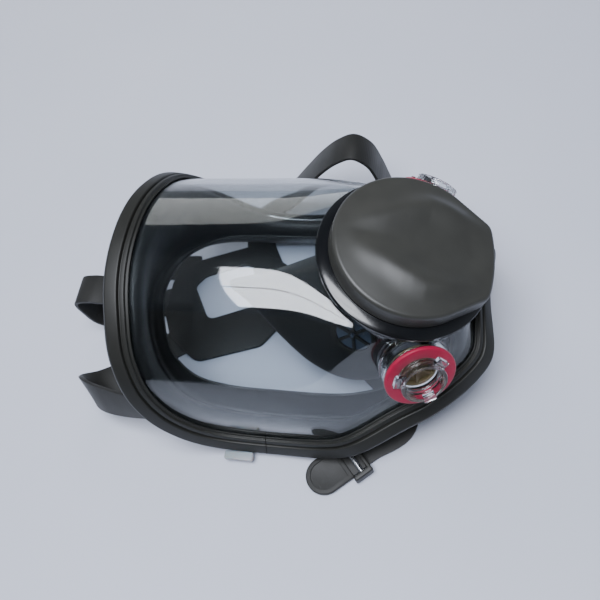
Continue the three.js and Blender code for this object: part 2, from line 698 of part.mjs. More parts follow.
function makePort({ side, group }) {
  const bore = PORT_TUBE_RADIUS - PORT_TUBE_WALL;
  const tail = PORT_BORE - 0.4;
  const shelf = PORT_DRUM_HEIGHT - PORT_TUBE_WALL;
  const body = toSolid(turned([
    [tail - 2, -PORT_TAIL],
    [tail, -PORT_TAIL],
    [tail, GAP + 0.1],
    [PORT_DRUM_RADIUS, GAP + 0.1],
    [PORT_DRUM_RADIUS, PORT_DRUM_HEIGHT],
    [PORT_TUBE_RADIUS, PORT_DRUM_HEIGHT],
    [PORT_TUBE_RADIUS, PORT_TUBE_HEIGHT],
    [bore, PORT_TUBE_HEIGHT],
    [bore, shelf],
    [tail - 2, shelf],
  ], PORT_SEGMENTS));
  const lugs = spread(3, (i) => {
    const place = [PORT_TUBE_RADIUS + PORT_LUG_REACH / 2 - 0.5, 0, PORT_TUBE_HEIGHT - 2.8];
    return block(PORT_LUG_REACH + 1, 7, 2.6, place).rotate([0, 0, 75 + 120 * i]);
  });
  addPiece(group, `port_connector_${side}`, union([body, ...lugs]), clearPlastic());

  const gasketLow = PORT_DRUM_HEIGHT + GAP;
  const gasketHigh = gasketLow + GASKET_THICKNESS;
  const gasket = ring(PORT_TUBE_RADIUS + GAP, GASKET_RADIUS, gasketLow, gasketHigh, PORT_SEGMENTS);
  addPiece(group, `port_gasket_${side}`, gasket, redSilicone());

  const lockRing = ring(tail + GAP, PORT_LOCK_RADIUS, PORT_LOCK_TOP - 2, PORT_LOCK_TOP, PORT_SEGMENTS);
  addPiece(group, `port_lock_ring_${side}`, lockRing, clearPlastic());

  const seatHigh = shelf - GAP;
  const seatLow = seatHigh - 2;
  const seat = union([
    ring(bore - 1, tail - 2 - GAP, seatLow, seatHigh, 28),
    spider(2.8, bore - 0.5, 1.4, seatLow, seatHigh, 6),
  ]).subtract(ring(0, 1.5, seatLow - 1, seatHigh + 1, 16));
  addPiece(group, `inhale_valve_seat_${side}`, seat, blackPlastic());
  const flapTop = seatLow - GAP;
  const flap = union([
    ring(0, bore + 1, flapTop - FLAP_THICKNESS, flapTop, 28),
    ring(0, 1.1, flapTop - 0.5, seatHigh + 1.5, 12),
  ]);
  addPiece(group, `inhale_valve_flap_${side}`, flap, valveSilicone());
}

ports.forEach(makePort);

// ---- nose cup: a neck on the adapter's snout, a soft cone over nose and mouth, a valve each side ----

const cupRim = closedLoop([
  [0, 54, 57], [-11, 38, 47], [-25, 20, 35], [-36, 2, 24], [-41, -16, 18], [-39, -36, 16],
  [-29, -51, 17], [-14, -58, 18], [0, -60, 19],
].map(([x, y, z]) => new THREE.Vector3(x, y, z)));
const CUP_STEPS = 28;

function neckRow(radius, height) {
  return spread(CUP_STEPS, (i) => {
    const turn = Math.PI / 2 + (2 * Math.PI * i) / CUP_STEPS;
    const place = new THREE.Vector3(radius * Math.cos(turn), radius * Math.sin(turn), height);
    return place.applyMatrix4(unit.matrix);
  });
}

function makeNoseCup() {
  const outerRadius = SNOUT_RADIUS + GAP + CUP_WALL;
  const neckTop = -UNIT_BOSS_DEPTH - LOCK_RING_HEIGHT - 1.6;
  const neckEnd = neckRow(outerRadius, -SNOUT_DEPTH);
  const rim = spread(CUP_STEPS, (i) => cupRim.getPointAt(i / CUP_STEPS));
  const middle = new THREE.Vector3(0, -14, 22);
  const between = (share, bulge) => neckEnd.map((point, i) => {
    const away = rim[i].clone().sub(middle).setZ(0).normalize();
    return point.clone().lerp(rim[i], share).addScaledVector(away, bulge);
  });
  const rows = [
    neckRow(outerRadius, neckTop),
    neckEnd,
    between(0.2, 1.5),
    between(0.42, 2.4),
    between(0.64, 2.4),
    between(0.84, 1.6),
    rim,
    rim.map((point) => point.clone().lerp(middle, 0.16).add(new THREE.Vector3(0, 0, -1.5))),
  ];
  let cup = toSolid(skin([...rows, ...offsetRows(rows, -CUP_WALL).reverse()], true));
  for (const { group } of cupValves) {
    const boss = ring(CUP_VALVE_RADIUS - 2.5, CUP_VALVE_RADIUS, -7, -2.2, 24);
    const bore = ring(0, CUP_VALVE_RADIUS - 2.5, -12, 12, 24);
    const clearance = ring(0, CUP_VALVE_RADIUS + 0.5, -2.2, 12, 24);
    cup = cup.add(boss.transform(group.matrix.elements))
      .subtract(bore.transform(group.matrix.elements))
      .subtract(clearance.transform(group.matrix.elements));
  }
  addPiece(assembly, 'nose_cup', cup, blackSilicone());
}

const cupValves = [
  { side: 'left', group: stand(CUP_VALVE_PLACE, CUP_VALVE_DIRECTION) },
  { side: 'right', group: stand(mirrored(CUP_VALVE_PLACE), mirrored(CUP_VALVE_DIRECTION)) },
];
makeNoseCup();

function makeCupValve({ side, group }) {
  const seatLow = -2.2 + GAP;
  const seatHigh = seatLow + 1.6;
  const seat = union([
    ring(CUP_VALVE_RADIUS - 3, CUP_VALVE_RADIUS, seatLow, seatHigh, 24),
    spider(2.6, CUP_VALVE_RADIUS - 2.5, 1.4, seatLow, seatHigh, 6),
  ]).subtract(ring(0, 1.4, seatLow - 1, seatHigh + 1, 12));
  addPiece(group, `cup_valve_seat_${side}`, seat, blackPlastic());
  const flapTop = seatLow - GAP;
  const flap = union([
    ring(0, CUP_VALVE_RADIUS - 3, flapTop - 0.8, flapTop, 24),
    ring(0, 1, flapTop - 0.5, seatHigh + 1.4, 12),
  ]);
  addPiece(group, `cup_valve_flap_${side}`, flap, valveSilicone());
}

cupValves.forEach(makeCupValve);

// ---- head harness: one moulded rubber plate with a hole and five straps ----

// A flat strap along a curve; turns gives its width's direction at shares of the length.
function ribbon(points, turns, steps, width = STRAP_WIDTH) {
  const curve = new THREE.CatmullRomCurve3(points);
  const rings = spread(steps + 1, (i) => {
    const share = i / steps;
    const place = curve.getPointAt(share);
    const run = curve.getTangentAt(share);
    place.z = Math.max(place.z, tableZ);
    const next = Math.max(1, turns.findIndex(([end]) => end >= share));
    const [[start, first], [end, second]] = [turns[next - 1], turns[next]];
    const across = first.clone().lerp(second, (share - start) / (end - start));
    across.addScaledVector(run, -across.dot(run)).normalize();
    const up = run.clone().cross(across);
    const corner = (x, y) => place.clone().addScaledVector(across, x).addScaledVector(up, y);
    const side = width / 2;
    const half = STRAP_THICKNESS / 2;
    return [corner(-side, -half), corner(side, -half), corner(side, half), corner(-side, half)];
  });
  return toSolid(skin(rings, false));
}

// The mask rests on its frame, so the table is at the frame's lowest corner, or at zero.
const skirtHeights = edgeFrames.map((frame) => fromEdge(frame, BAND_WIDTH, skirtDepth).z);
const tableLevel = Math.min(0, ...skirtHeights);
const frameReach = VISOR_RADIUS + BAND_WIDTH;
const tableZ = tableLevel + STRAP_THICKNESS / 2;
const way = (x, y, z) => new THREE.Vector3(x, y, z);
const at = (x, y, z) => way(x, y, tableLevel + z);
const onTable = (x, y) => way(x, y, tableZ);
const beside = (reach, y, z) => at(frameReach + reach, y, z);

function plateShape() {
  const shape = new THREE.Shape();
  shape.moveTo(-14, 106);
  shape.lineTo(-30, 84);
  shape.lineTo(-16, 42);
  shape.lineTo(4, 28);
  shape.lineTo(44, 30);
  shape.lineTo(62, 60);
  shape.lineTo(45, 106);
  shape.lineTo(30, 114);
  shape.lineTo(4, 114);
  shape.closePath();
  return shape;
}

function harnessPlate() {
  const shape = plateShape();
  const hole = new THREE.Path();
  hole.moveTo(27, 95);
  hole.lineTo(4, 82);
  hole.quadraticCurveTo(0, 78, 3, 72);
  hole.lineTo(13, 52);
  hole.quadraticCurveTo(17, 46, 24, 49);
  hole.lineTo(42, 58);
  hole.quadraticCurveTo(47, 61, 45, 67);
  hole.lineTo(36, 88);
  hole.quadraticCurveTo(33, 96, 27, 95);
  shape.holes.push(hole);
  return extruded(shape, tableLevel, tableLevel + STRAP_THICKNESS, 3);
}

// The share of the way round at which the visor's edge comes down to a height on the forehead side.
function shareAtHeight(height) {
  const shares = spread(200, (i) => 0.3 * (i / 200));
  const miss = (share) => Math.abs(edgeCurve.getPointAt(share).z - height);
  return shares.reduce((best, share) => (miss(share) < miss(best) ? share : best));
}

// Each upper strap ends flat against a clip that is fixed in the hollow behind the frame's band.
const CLIP_TOP = bandUnder - 1.2;
const CLIP_DEPTH = 9.4;
const CLIP_WIDTH = 16;
const strapDepth = -CLIP_DEPTH - GAP - STRAP_THICKNESS / 2;
const templeShare = shareAtHeight(TEMPLE_HEIGHT);
const anchors = [
  { name: 'strap_clip_forehead', share: 0 },
  { name: 'strap_clip_temple_right', share: templeShare },
  { name: 'strap_clip_temple_left', share: 1 - templeShare },
].map((anchor) => ({ ...anchor, frame: edgeFrame(anchor.share) }));

function makeStrapClip({ name, share, frame }) {
  const low = webEdge + 3 * GAP;
  const high = BAND_WIDTH - FRAME_WALL - 3 * GAP;
  const depth = frame.run.clone().cross(frame.outward);
  const basis = new THREE.Matrix4().makeBasis(frame.run, frame.outward, depth);
  basis.setPosition(frame.place);
  const isUp = depth.dot(frame.normal);
  const middle = isUp * (CLIP_TOP - CLIP_DEPTH) / 2;
  const clip = block(CLIP_WIDTH, high - low, CLIP_TOP + CLIP_DEPTH, [0, (low + high) / 2, middle]);
  const reach = CLIP_WIDTH / edgeLength;
  const room = frameRun([-1, -0.5, 0, 0.5, 1].map((side) => share + side * reach), [
    [webEdge + GAP, bandUnder - GAP],
    [webEdge + GAP, -2 * CLIP_DEPTH],
    [BAND_WIDTH - FRAME_WALL - GAP, -2 * CLIP_DEPTH],
    [BAND_WIDTH - FRAME_WALL - GAP, bandUnder - GAP],
  ]);
  addPiece(assembly, name, clip.transform(basis.elements).intersect(room), framePlastic());
}

anchors.forEach(makeStrapClip);

const anchorEnd = (frame) => [24, 16, 9].map((out) => fromEdge(frame, out, strapDepth));

const foreheadPath = [
  onTable(16, 108), onTable(8, 130), at(2, 148, 3), at(0, 157, 11), at(0, STRAP_REACH_Y, 25),
  at(0, STRAP_REACH_Y - 1, 39), at(0, 150, 42), at(0, 136, 42), at(0, 123, 54), at(0, 119, 76),
  ...anchorEnd(anchors[0].frame).slice(1),
];

const templePath = (side, start, frame) => [
  ...start, at(side * 43, 133, 2), at(side * 51, 143, 6), at(side * 56, 147, 13),
  at(side * 61, 143, 21), at(side * 68, 130, 27), ...anchorEnd(frame).slice(1),
];

// Where each cheek buckle's bar crosses the strap on the table, and the strap's run away from the mask.
const buckles = {
  right: { place: at(11.5 - frameReach, -24.5, 0), run: way(-0.66, 0.75, 0).normalize() },
  left: { place: at(frameReach - 6, -46, 0), run: way(0.78, 0.62, 0).normalize() },
};
const alongCheek = ({ place, run }, distance) => place.clone().addScaledVector(run, distance).setZ(tableZ);

// The right cheek strap runs flat under its buckle and ends in a tongue with a raised border.
const rightCheekPath = [
  onTable(10, 34), onTable(0, 6), onTable(-20, -26), onTable(-45, -50), onTable(33 - frameReach, -51),
  alongCheek(buckles.right, -12), alongCheek(buckles.right, 2), alongCheek(buckles.right, 8),
];

// The left cheek strap is let out: it leaves the table in an arch before it reaches its buckle.
const leftCheekPath = [
  onTable(40, 44), onTable(62, 55), onTable(frameReach - 15, 57), beside(-2, 52, 3), beside(3.5, 43, 9),
  beside(3, 34, 17), beside(2, 21, 34), beside(1.5, 7, 51), beside(1, -4, 61), beside(1, -14, 65),
  beside(1, -23, 58), beside(1.5, -28.5, 42), beside(2.5, -32, 25), beside(3, -35, 12),
  beside(2, -38.5, 4), alongCheek(buckles.left, 6), alongCheek(buckles.left, -3),
  alongCheek(buckles.left, -20),
];

const TONGUE_WIDTH = 22;
const TONGUE_HEIGHT = 3.2;
const TONGUE_START = 5;
const TONGUE_LENGTH = 25;

function makeTongue() {
  const outline = (inset) => {
    const half = TONGUE_WIDTH / 2 - inset;
    const start = TONGUE_START + inset;
    const tip = TONGUE_START + TONGUE_LENGTH - TONGUE_WIDTH / 2;
    const shape = new THREE.Shape();
    shape.moveTo(-half, start);
    shape.lineTo(half, start);
    shape.lineTo(half, tip);
    shape.absarc(0, tip, half, 0, Math.PI, false);
    shape.closePath();
    return shape;
  };
  const border = 2.4;
  return extruded(outline(0), 0, TONGUE_HEIGHT, 10)
    .subtract(extruded(outline(border), STRAP_THICKNESS, TONGUE_HEIGHT + 1, 10));
}

// A turn from one direction to another that comes late in a strap's length.
const turning = (start, end) => spread(9, (i) => [i / 8, start.clone().lerp(end, (i / 8) ** 2)]);

// One rubber moulding, told apart here into its pad and its five straps with a hair of air between.
function makeHarness() {
  const acrossForehead = way(-1, 0, 0);
  const templeRight = templePath(-1, [onTable(-14, 96), onTable(-30, 118)], anchors[1].frame);
  const templeLeft = templePath(1, [onTable(42, 98), onTable(42, 118)], anchors[2].frame);
  const tongue = makeTongue().transform(cheekBasis(buckles.right).elements);
  const acrossArch = way(1, 0, 0);
  const acrossBuckle = way(0.62, -0.78, 0);
  const straps = {
    strap_forehead: ribbon(foreheadPath, [[0, acrossForehead], [1, acrossForehead]], 24),
    strap_temple_right: ribbon(templeRight, turning(way(-0.75, -0.6, 0), anchors[1].frame.run), 18),
    strap_temple_left: ribbon(templeLeft, turning(way(-0.8, 0.4, 0), anchors[2].frame.run), 18),
    strap_cheek_right: ribbon(rightCheekPath, turning(way(0.9, -0.4, 0), way(0.75, 0.66, 0)), 14).add(tongue),
    strap_cheek_left: ribbon(leftCheekPath, [
      [0, way(-0.4, 0.9, 0)], [0.14, way(-0.4, 0.9, 0)], [0.3, acrossArch],
      [0.84, acrossArch], [0.93, acrossBuckle], [1, acrossBuckle],
    ], 34),
  };
  const outline = plateShape().getPoints().map((point) => [point.x, point.y]);
  const grown = new wasm.CrossSection([outline]).offset(GAP, 'Miter');
  const padRoom = wasm.Manifold.extrude(grown, 4 * STRAP_THICKNESS)
    .translate([0, 0, tableLevel - STRAP_THICKNESS]);
  addPiece(assembly, 'head_harness', harnessPlate(), strapRubber());
  Object.entries(straps).forEach(([name, strap]) => {
    addPiece(assembly, name, strap.trimByPlane([0, 0, 1], tableLevel).subtract(padRoom), strapRubber());
  });
}

// ---- cheek buckles: a plastic frame round the strap and a steel bar that turns in it ----

const BUCKLE_WIDTH = 30;
const BUCKLE_SIDE = 3.2;
const BUCKLE_LENGTH = 12;
const BUCKLE_HEIGHT = 7.6;
const BUCKLE_CROSSPIECE = 2.4;
const BAR_HEIGHT = STRAP_THICKNESS + 0.5 + BAR_RADIUS;
const BAR_LENGTH = 27;

// A frame on the table with +Y along a cheek strap, away from the mask.
function cheekBasis({ place, run }) {
  const up = way(0, 0, 1);
  return new THREE.Matrix4().makeBasis(run.clone().cross(up), run, up).setPosition(place);
}

function makeBuckle([side, buckle]) {
  const place = cheekBasis(buckle).elements;
  const sideX = (BUCKLE_WIDTH - BUCKLE_SIDE) / 2;
  const low = 0.2;
  const cheeks = [-1, 1].map((edge) =>
    block(BUCKLE_SIDE, BUCKLE_LENGTH, BUCKLE_HEIGHT - low, [edge * sideX, 0, (BUCKLE_HEIGHT + low) / 2]));
  const crosspieceZ = BUCKLE_HEIGHT - 0.9;
  const crosspiece = block(BUCKLE_WIDTH, BUCKLE_CROSSPIECE, 1.8, [0, -BUCKLE_LENGTH / 2 + 1.2, crosspieceZ]);
  const rod = (radius, length) => toSolid(new THREE.CylinderGeometry(radius, radius, length, 16)
    .rotateZ(Math.PI / 2).translate(0, 0, BAR_HEIGHT));
  const bearing = rod(BAR_RADIUS + GAP, BAR_LENGTH + 2 * GAP);
  const frame = union([...cheeks, crosspiece]).subtract(bearing);
  addPiece(assembly, `buckle_frame_${side}`, frame.transform(place), framePlastic());
  addPiece(assembly, `buckle_bar_${side}`, rod(BAR_RADIUS, BAR_LENGTH).transform(place), steel());
}

makeHarness();
Object.entries(buckles).forEach(makeBuckle);

// ---- a small clear tab that stands out from under the frame's edge on the right ----

const TAB_LENGTH = 18;
const TAB_THICKNESS = 2.6;
const TAB_REACH = 5;
const TAB_Y = 41;

function makeFrameTab() {
  const shares = spread(200, (i) => 0.5 * (i / 200));
  const miss = (share) => Math.abs(edgeCurve.getPointAt(share).y - TAB_Y);
  const frame = edgeFrame(shares.reduce((best, share) => (miss(share) < miss(best) ? share : best)));
  const corner = fromEdge(frame, BAND_WIDTH, BAND_PROUD - 2);
  const x = corner.x - 2 * GAP - TAB_REACH / 2;
  const tab = block(TAB_REACH, TAB_LENGTH, TAB_THICKNESS, [x, corner.y, corner.z]);
  addPiece(assembly, 'frame_tab_right', tab, clearPlastic());
}

makeFrameTab();

// The origin is the middle of the underside of the whole.
assembly.updateMatrixWorld(true);
const extent = new THREE.Box3().setFromObject(assembly, true);
const centre = extent.getCenter(new THREE.Vector3());
assembly.position.set(-centre.x, -centre.y, -extent.min.z);
assembly.updateMatrixWorld(true);

export default assembly;
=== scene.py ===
import json
import math

import bpy
import numpy as np
from mathutils import Matrix, Vector


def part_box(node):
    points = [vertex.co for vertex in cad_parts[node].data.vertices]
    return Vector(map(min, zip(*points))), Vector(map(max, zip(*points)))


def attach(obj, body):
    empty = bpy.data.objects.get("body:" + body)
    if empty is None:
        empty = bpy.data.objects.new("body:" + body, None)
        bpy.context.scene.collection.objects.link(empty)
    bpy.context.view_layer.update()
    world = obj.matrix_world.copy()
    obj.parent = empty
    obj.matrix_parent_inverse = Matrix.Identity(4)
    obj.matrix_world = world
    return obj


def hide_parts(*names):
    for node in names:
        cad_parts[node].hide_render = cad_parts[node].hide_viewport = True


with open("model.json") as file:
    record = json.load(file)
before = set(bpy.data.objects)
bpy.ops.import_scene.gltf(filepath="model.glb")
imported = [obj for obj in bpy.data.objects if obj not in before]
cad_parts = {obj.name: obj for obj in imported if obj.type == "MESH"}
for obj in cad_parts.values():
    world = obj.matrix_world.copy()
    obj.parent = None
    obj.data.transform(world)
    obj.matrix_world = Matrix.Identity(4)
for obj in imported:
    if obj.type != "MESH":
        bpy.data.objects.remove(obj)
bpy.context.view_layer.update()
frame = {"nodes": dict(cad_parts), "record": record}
bpy.ops.object.select_all(action="DESELECT")

# ---- Camera ----
# It stands over the wearer's right cheek of the mask and looks down across the visor to the left.
# The mask's own datum is the table under its middle plane, found from the head pad's mount.

mounts = {mount["name"]: mount for mount in frame["record"]["mounts"]}
joints = {joint["name"]: joint for joint in frame["record"]["behaviour"]["joints"]}
datum = Vector(mounts["head_pad"]["pos_m"]) - Vector((-0.010, 0.080, 0))

bpy.ops.object.camera_add(location=datum + Vector((-0.190, -0.085, 0.397)))
camera = bpy.context.object
right, up, back = Vector((0.141, -0.972, -0.186)), Vector((0.879, 0.037, 0.475)), Vector((-0.455, -0.231, 0.860))
back.normalize()
right = up.cross(back).normalized()
up = back.cross(right)
turn = Matrix((right, up, back)).transposed()
camera.rotation_euler = turn.to_euler()
camera.data.lens = 41.2
camera.data.sensor_width = 36
bpy.context.scene.camera = camera

# ---- Table and light ----
# The mask lies on a pale blue-grey laminate top under a large overhead softbox in two panels, which the visor mirrors
# as white stripes, with a soft key low off to one side that the visor does not mirror, and even grey light all round.


def linear(code):
    """Turns an sRGB hex colour into linear numbers."""
    parts = [int(code[i:i + 2], 16) / 255 for i in (1, 3, 5)]
    return (*[c / 12.92 if c <= 0.04045 else ((c + 0.055) / 1.055) ** 2.4 for c in parts], 1)


def add_node(tree, kind, settings, links=()):
    """Adds a node, gives it its settings and feeds the sockets that links names."""
    node = tree.nodes.new(kind)
    for key, value in settings.items():
        if isinstance(key, int) or key in node.inputs:
            node.inputs[key].default_value = value
        else:
            setattr(node, key, value)
    for key, source in dict(links).items():
        tree.links.new(source, node.inputs[key])
    return node


def new_finish(name, **sockets):
    """Starts a material: its node tree and its main shader with the sockets set."""
    material = bpy.data.materials.new(name)
    material.use_nodes = True
    shader = material.node_tree.nodes["Principled BSDF"]
    for key, value in sockets.items():
        shader.inputs[key.replace("_", " ")].default_value = value
    return material, material.node_tree, shader


def dress(piece, material, body="mask"):
    """Gives a finished piece its material, its CAD body and its place in the record's list."""
    piece.data.materials.clear()
    piece.data.materials.append(material)
    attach(piece, body)


bpy.ops.mesh.primitive_plane_add(size=6, location=(0, 0, -0.0004))
table = bpy.context.object
table.name = "table"
laminate, tree, shader = new_finish("melamine_laminate", Roughness=0.5)
where = add_node(tree, "ShaderNodeTexCoord", {})
mottle = add_node(tree, "ShaderNodeTexNoise", {"Scale": 9.0, "Detail": 3.0}, {"Vector": where.outputs["Object"]})
tint = add_node(tree, "ShaderNodeMix", {"data_type": "RGBA", 6: linear("#c3c8d7"), 7: linear("#cacedc")},
                {0: mottle.outputs["Fac"]})
tree.links.new(tint.outputs[2], shader.inputs["Base Color"])
table.data.materials.append(laminate)

world = bpy.data.worlds.new("studio")
bpy.context.scene.world = world
world.use_nodes = True
sky = world.node_tree.nodes["Background"]
sky.inputs["Strength"].default_value = 1.0
# The walls are pale and the ceiling is dark, so the visor mirrors little above the mask.
way_out = add_node(world.node_tree, "ShaderNodeTexCoord", {})
parts = add_node(world.node_tree, "ShaderNodeSeparateXYZ", {}, {0: way_out.outputs["Generated"]})
rise = add_node(world.node_tree, "ShaderNodeMapRange", {"From Min": 0.05, "From Max": 0.75}, {"Value": parts.outputs["Z"]})
tone = add_node(world.node_tree, "ShaderNodeMix", {"data_type": "RGBA", 6: linear("#8d939d"), 7: linear("#454b55")},
                {0: rise.outputs[0]})
world.node_tree.links.new(tone.outputs[2], sky.inputs["Color"])


lamps = [
    # name, place, width and length, watts, colour
    ("ceiling_panel_far", (-0.435, 0.02, 1.2), (0.36, 0.78), 13.5, "#f2f6ff"),
    ("ceiling_panel_near", (-0.075, 0.02, 1.2), (0.33, 0.78), 12.5, "#f2f6ff"),
    ("key_softbox", (1.35, 0.62, 0.72), (1.7, 0.9), 20, "#fffdfa"),
]
for name, place, size, watts, colour in lamps:
    bpy.ops.object.light_add(type="AREA", location=place)
    lamp = bpy.context.object
    lamp.name = name
    lamp.data.shape = "RECTANGLE"
    lamp.data.size, lamp.data.size_y = size
    lamp.data.energy = watts
    lamp.data.color = linear(colour)[:3]
    if name == "key_softbox":
        lamp.visible_glossy = False
        lamp.rotation_euler = Vector(place).to_track_quat("Z", "Y").to_euler()

# A black felt card stands off the mask's right side and keeps that side of the visor dark.
bpy.ops.mesh.primitive_plane_add(size=1.4)
card = bpy.context.object
card.name = "felt_card"
card.visible_camera = False
card.data.transform(Matrix.Translation((-0.52, 0.1, 0.12)) @ Matrix.Rotation(math.pi / 2, 4, "Y"))
felt, tree, shader = new_finish("black_felt", Roughness=0.95)
where = add_node(tree, "ShaderNodeTexCoord", {})
nap = add_node(tree, "ShaderNodeTexNoise", {"Scale": 40.0, "Detail": 2.0}, {"Vector": where.outputs["Object"]})
tint = add_node(tree, "ShaderNodeMix", {"data_type": "RGBA", 6: linear("#0c0c0d"), 7: linear("#161617")},
                {0: nap.outputs["Fac"]})
tree.links.new(tint.outputs[2], shader.inputs["Base Color"])
card.data.materials.append(felt)

# ---- Visor ----
# One injection-moulded polycarbonate shell, 3 mm thick: a bend of 80 mm radius with a flat for the
# central unit, a flat for each filter port and a short chin wall, all blended into each other.

visor_radius = 80.0
visor_axis_z = 26.5
visor_wall = 3.0
visor_blend = 2.5
rim_lip = 4.0
unit_axis = np.array(joints["cover_pull_off"]["axis"])
unit_base = np.array((0, -53.3, 86.8))
port_axis = np.array(mounts["filter_seat_left"]["axis"])
port_base = np.array((46.9, -60.4, 64.3))
mirror = np.array((-1, 1, 1))
chin_axis = np.array((0, -0.94, 0.34)) / math.hypot(0.94, 0.34)
chin_base = np.array((0, -89.5, 62))
flats = [(unit_axis, unit_base), (port_axis, port_base), (port_axis * mirror, port_base * mirror), (chin_axis, chin_base)]


def outside_visor(points):
    """How far points in millimetres are outside the visor's outer surface."""
    parts = [np.hypot(points[..., 0], points[..., 2] - visor_axis_z) - visor_radius]
    parts += [(points - base) @ axis for axis, base in flats]
    return visor_blend * np.log(sum(np.exp(part / visor_blend) for part in parts))


def on_visor(targets, depth=0.0):
    """Where rays from the mask's middle to the targets meet the visor, at a depth under its surface."""
    ways = targets / np.linalg.norm(targets, axis=-1, keepdims=True)
    near, far = np.zeros(ways.shape[:-1]), np.full(ways.shape[:-1], 300.0)
    for _ in range(34):
        middle = (near + far) / 2
        is_out = outside_visor(ways * middle[..., None]) > -depth
        near, far = np.where(is_out, near, middle), np.where(is_out, middle, far)
    return ways * near[..., None]


def unit_length(vectors):
    return vectors / np.linalg.norm(vectors, axis=-1, keepdims=True)


def visor_normal(points, step=0.4):
    moves = np.eye(3) * step
    return unit_length(np.stack([outside_visor(points + m) - outside_visor(points - m) for m in moves], axis=-1))


def closed_curve(half, count):
    """Evenly spaced points on a smooth closed curve through a half outline and its mirror image."""
    half = np.array(half, float)
    ends = np.vstack([half, (half[1:-1] * mirror)[::-1]])
    dense = []
    for i in range(len(ends)):
        p = [ends[(i + k - 1) % len(ends)] for k in range(4)]
        t = np.concatenate([[0], np.cumsum([math.sqrt(np.linalg.norm(p[k + 1] - p[k])) for k in range(3)])])
        for u in np.linspace(t[1], t[2], 30, endpoint=False):
            a = [p[k] + (p[k + 1] - p[k]) * (u - t[k]) / (t[k + 1] - t[k]) for k in range(3)]
            b = [a[k] + (a[k + 1] - a[k]) * (u - t[k]) / (t[k + 2] - t[k]) for k in range(2)]
            dense.append(b[0] + (b[1] - b[0]) * (u - t[1]) / (t[2] - t[1]))
    dense = np.vstack([dense, dense[:1]])
    reach = np.concatenate([[0], np.cumsum(np.linalg.norm(np.diff(dense, axis=0), axis=1))])
    steps = np.linspace(0, reach[-1], count, endpoint=False)
    return np.stack([np.interp(steps, reach, dense[:, k]) for k in range(3)], axis=1)


edge_count = 400
edge = on_visor(closed_curve([
    (0, 90, 106.5), (-40, 88.5, 95.8), (-62, 86.5, 77), (-73.5, 81.5, 58), (-79, 70, 38), (-80, 53, 22),
    (-80.5, 25, 16), (-80, -6, 19), (-76, -29, 29), (-66, -50, 36), (-56, -66, 39), (-43, -79, 45),
    (-22, -86.5, 54), (0, -88.5, 58),
], edge_count))
edge_run = unit_length(np.roll(edge, -5, axis=0) - np.roll(edge, 5, axis=0))
edge_surface = sum(np.roll(visor_normal(edge), k, axis=0) for k in range(-20, 21, 2))
edge_surface = unit_length(edge_surface - edge_run * np.sum(edge_surface * edge_run, axis=1, keepdims=True))
edge_out = np.cross(edge_run, edge_surface)
flare = np.radians(38) * np.clip(1 - edge[:, 2] / 106.5, 0, 1) ** 1.3
edge_out = unit_length(edge_out * np.cos(flare)[:, None] + edge_surface * np.sin(flare)[:, None])
edge_up = unit_length(np.cross(edge_out, edge_run))


def from_edge(out, height, rows=slice(None)):
    return edge[rows] + edge_out[rows] * out + edge_up[rows] * height


def skinned(name, rings, looped=False, poles=(None, None), crease=35):
    """Makes a piece whose skin runs over rings of points in millimetres from the datum."""
    count = len(rings[0])
    points = [tuple(p) for ring in rings for p in ring]
    faces = []
    spans = len(rings) if looped else len(rings) - 1
    for i in range(spans):
        first, second = i * count, ((i + 1) % len(rings)) * count
        faces += [(first + j, first + (j + 1) % count, second + (j + 1) % count, second + j) for j in range(count)]
    for pole, first in zip(poles, (0, (len(rings) - 1) * count)):
        if looped:
            break
        if pole is None:
            faces.append(tuple(range(first, first + count)))
            continue
        points.append(tuple(pole))
        faces += [(first + j, first + (j + 1) % count, len(points) - 1) for j in range(count)]
    mesh = bpy.data.meshes.new(name)
    mesh.from_pydata([datum + Vector(p) * 0.001 for p in points], [], faces)
    piece = bpy.data.objects.new(name, mesh)
    bpy.context.collection.objects.link(piece)
    face_out(piece)
    smooth(piece, crease)
    return piece


def choose(piece):
    bpy.ops.object.select_all(action="DESELECT")
    piece.select_set(True)
    bpy.context.view_layer.objects.active = piece


def face_out(piece):
    choose(piece)
    bpy.ops.object.mode_set(mode="EDIT")
    bpy.ops.mesh.select_all(action="SELECT")
    bpy.ops.mesh.remove_doubles(threshold=1e-7)
    bpy.ops.mesh.normals_make_consistent(inside=False)
    bpy.ops.object.mode_set(mode="OBJECT")


def smooth(piece, crease=35):
    choose(piece)
    bpy.ops.object.shade_smooth_by_angle(angle=math.radians(crease))


def combine(piece, tool, operation):
    """Joins or cuts a piece with a tool that is then thrown away."""
    choose(piece)
    change = piece.modifiers.new("change", "BOOLEAN")
    change.operation = operation
    change.object = tool
    change.solver = "EXACT"
    change.use_self = tool.name == "collar"
    bpy.ops.object.modifier_apply(modifier=change.name)
    bpy.data.objects.remove(tool, do_unlink=True)


def stand(base, axis):
    """A place on the mask with +Z along an axis and +Y towards the forehead, in metres."""
    axis = Vector(axis)
    across = Vector((0, 1, 0)).cross(axis).normalized()
    place = Matrix((across, axis.cross(across), axis)).transposed().to_4x4()
    place.translation = datum + Vector(base) * 0.001
    return place


unit_place = stand(unit_base, unit_axis)
port_places = {"left": stand(port_base, port_axis), "right": stand(port_base * mirror, port_axis * mirror)}


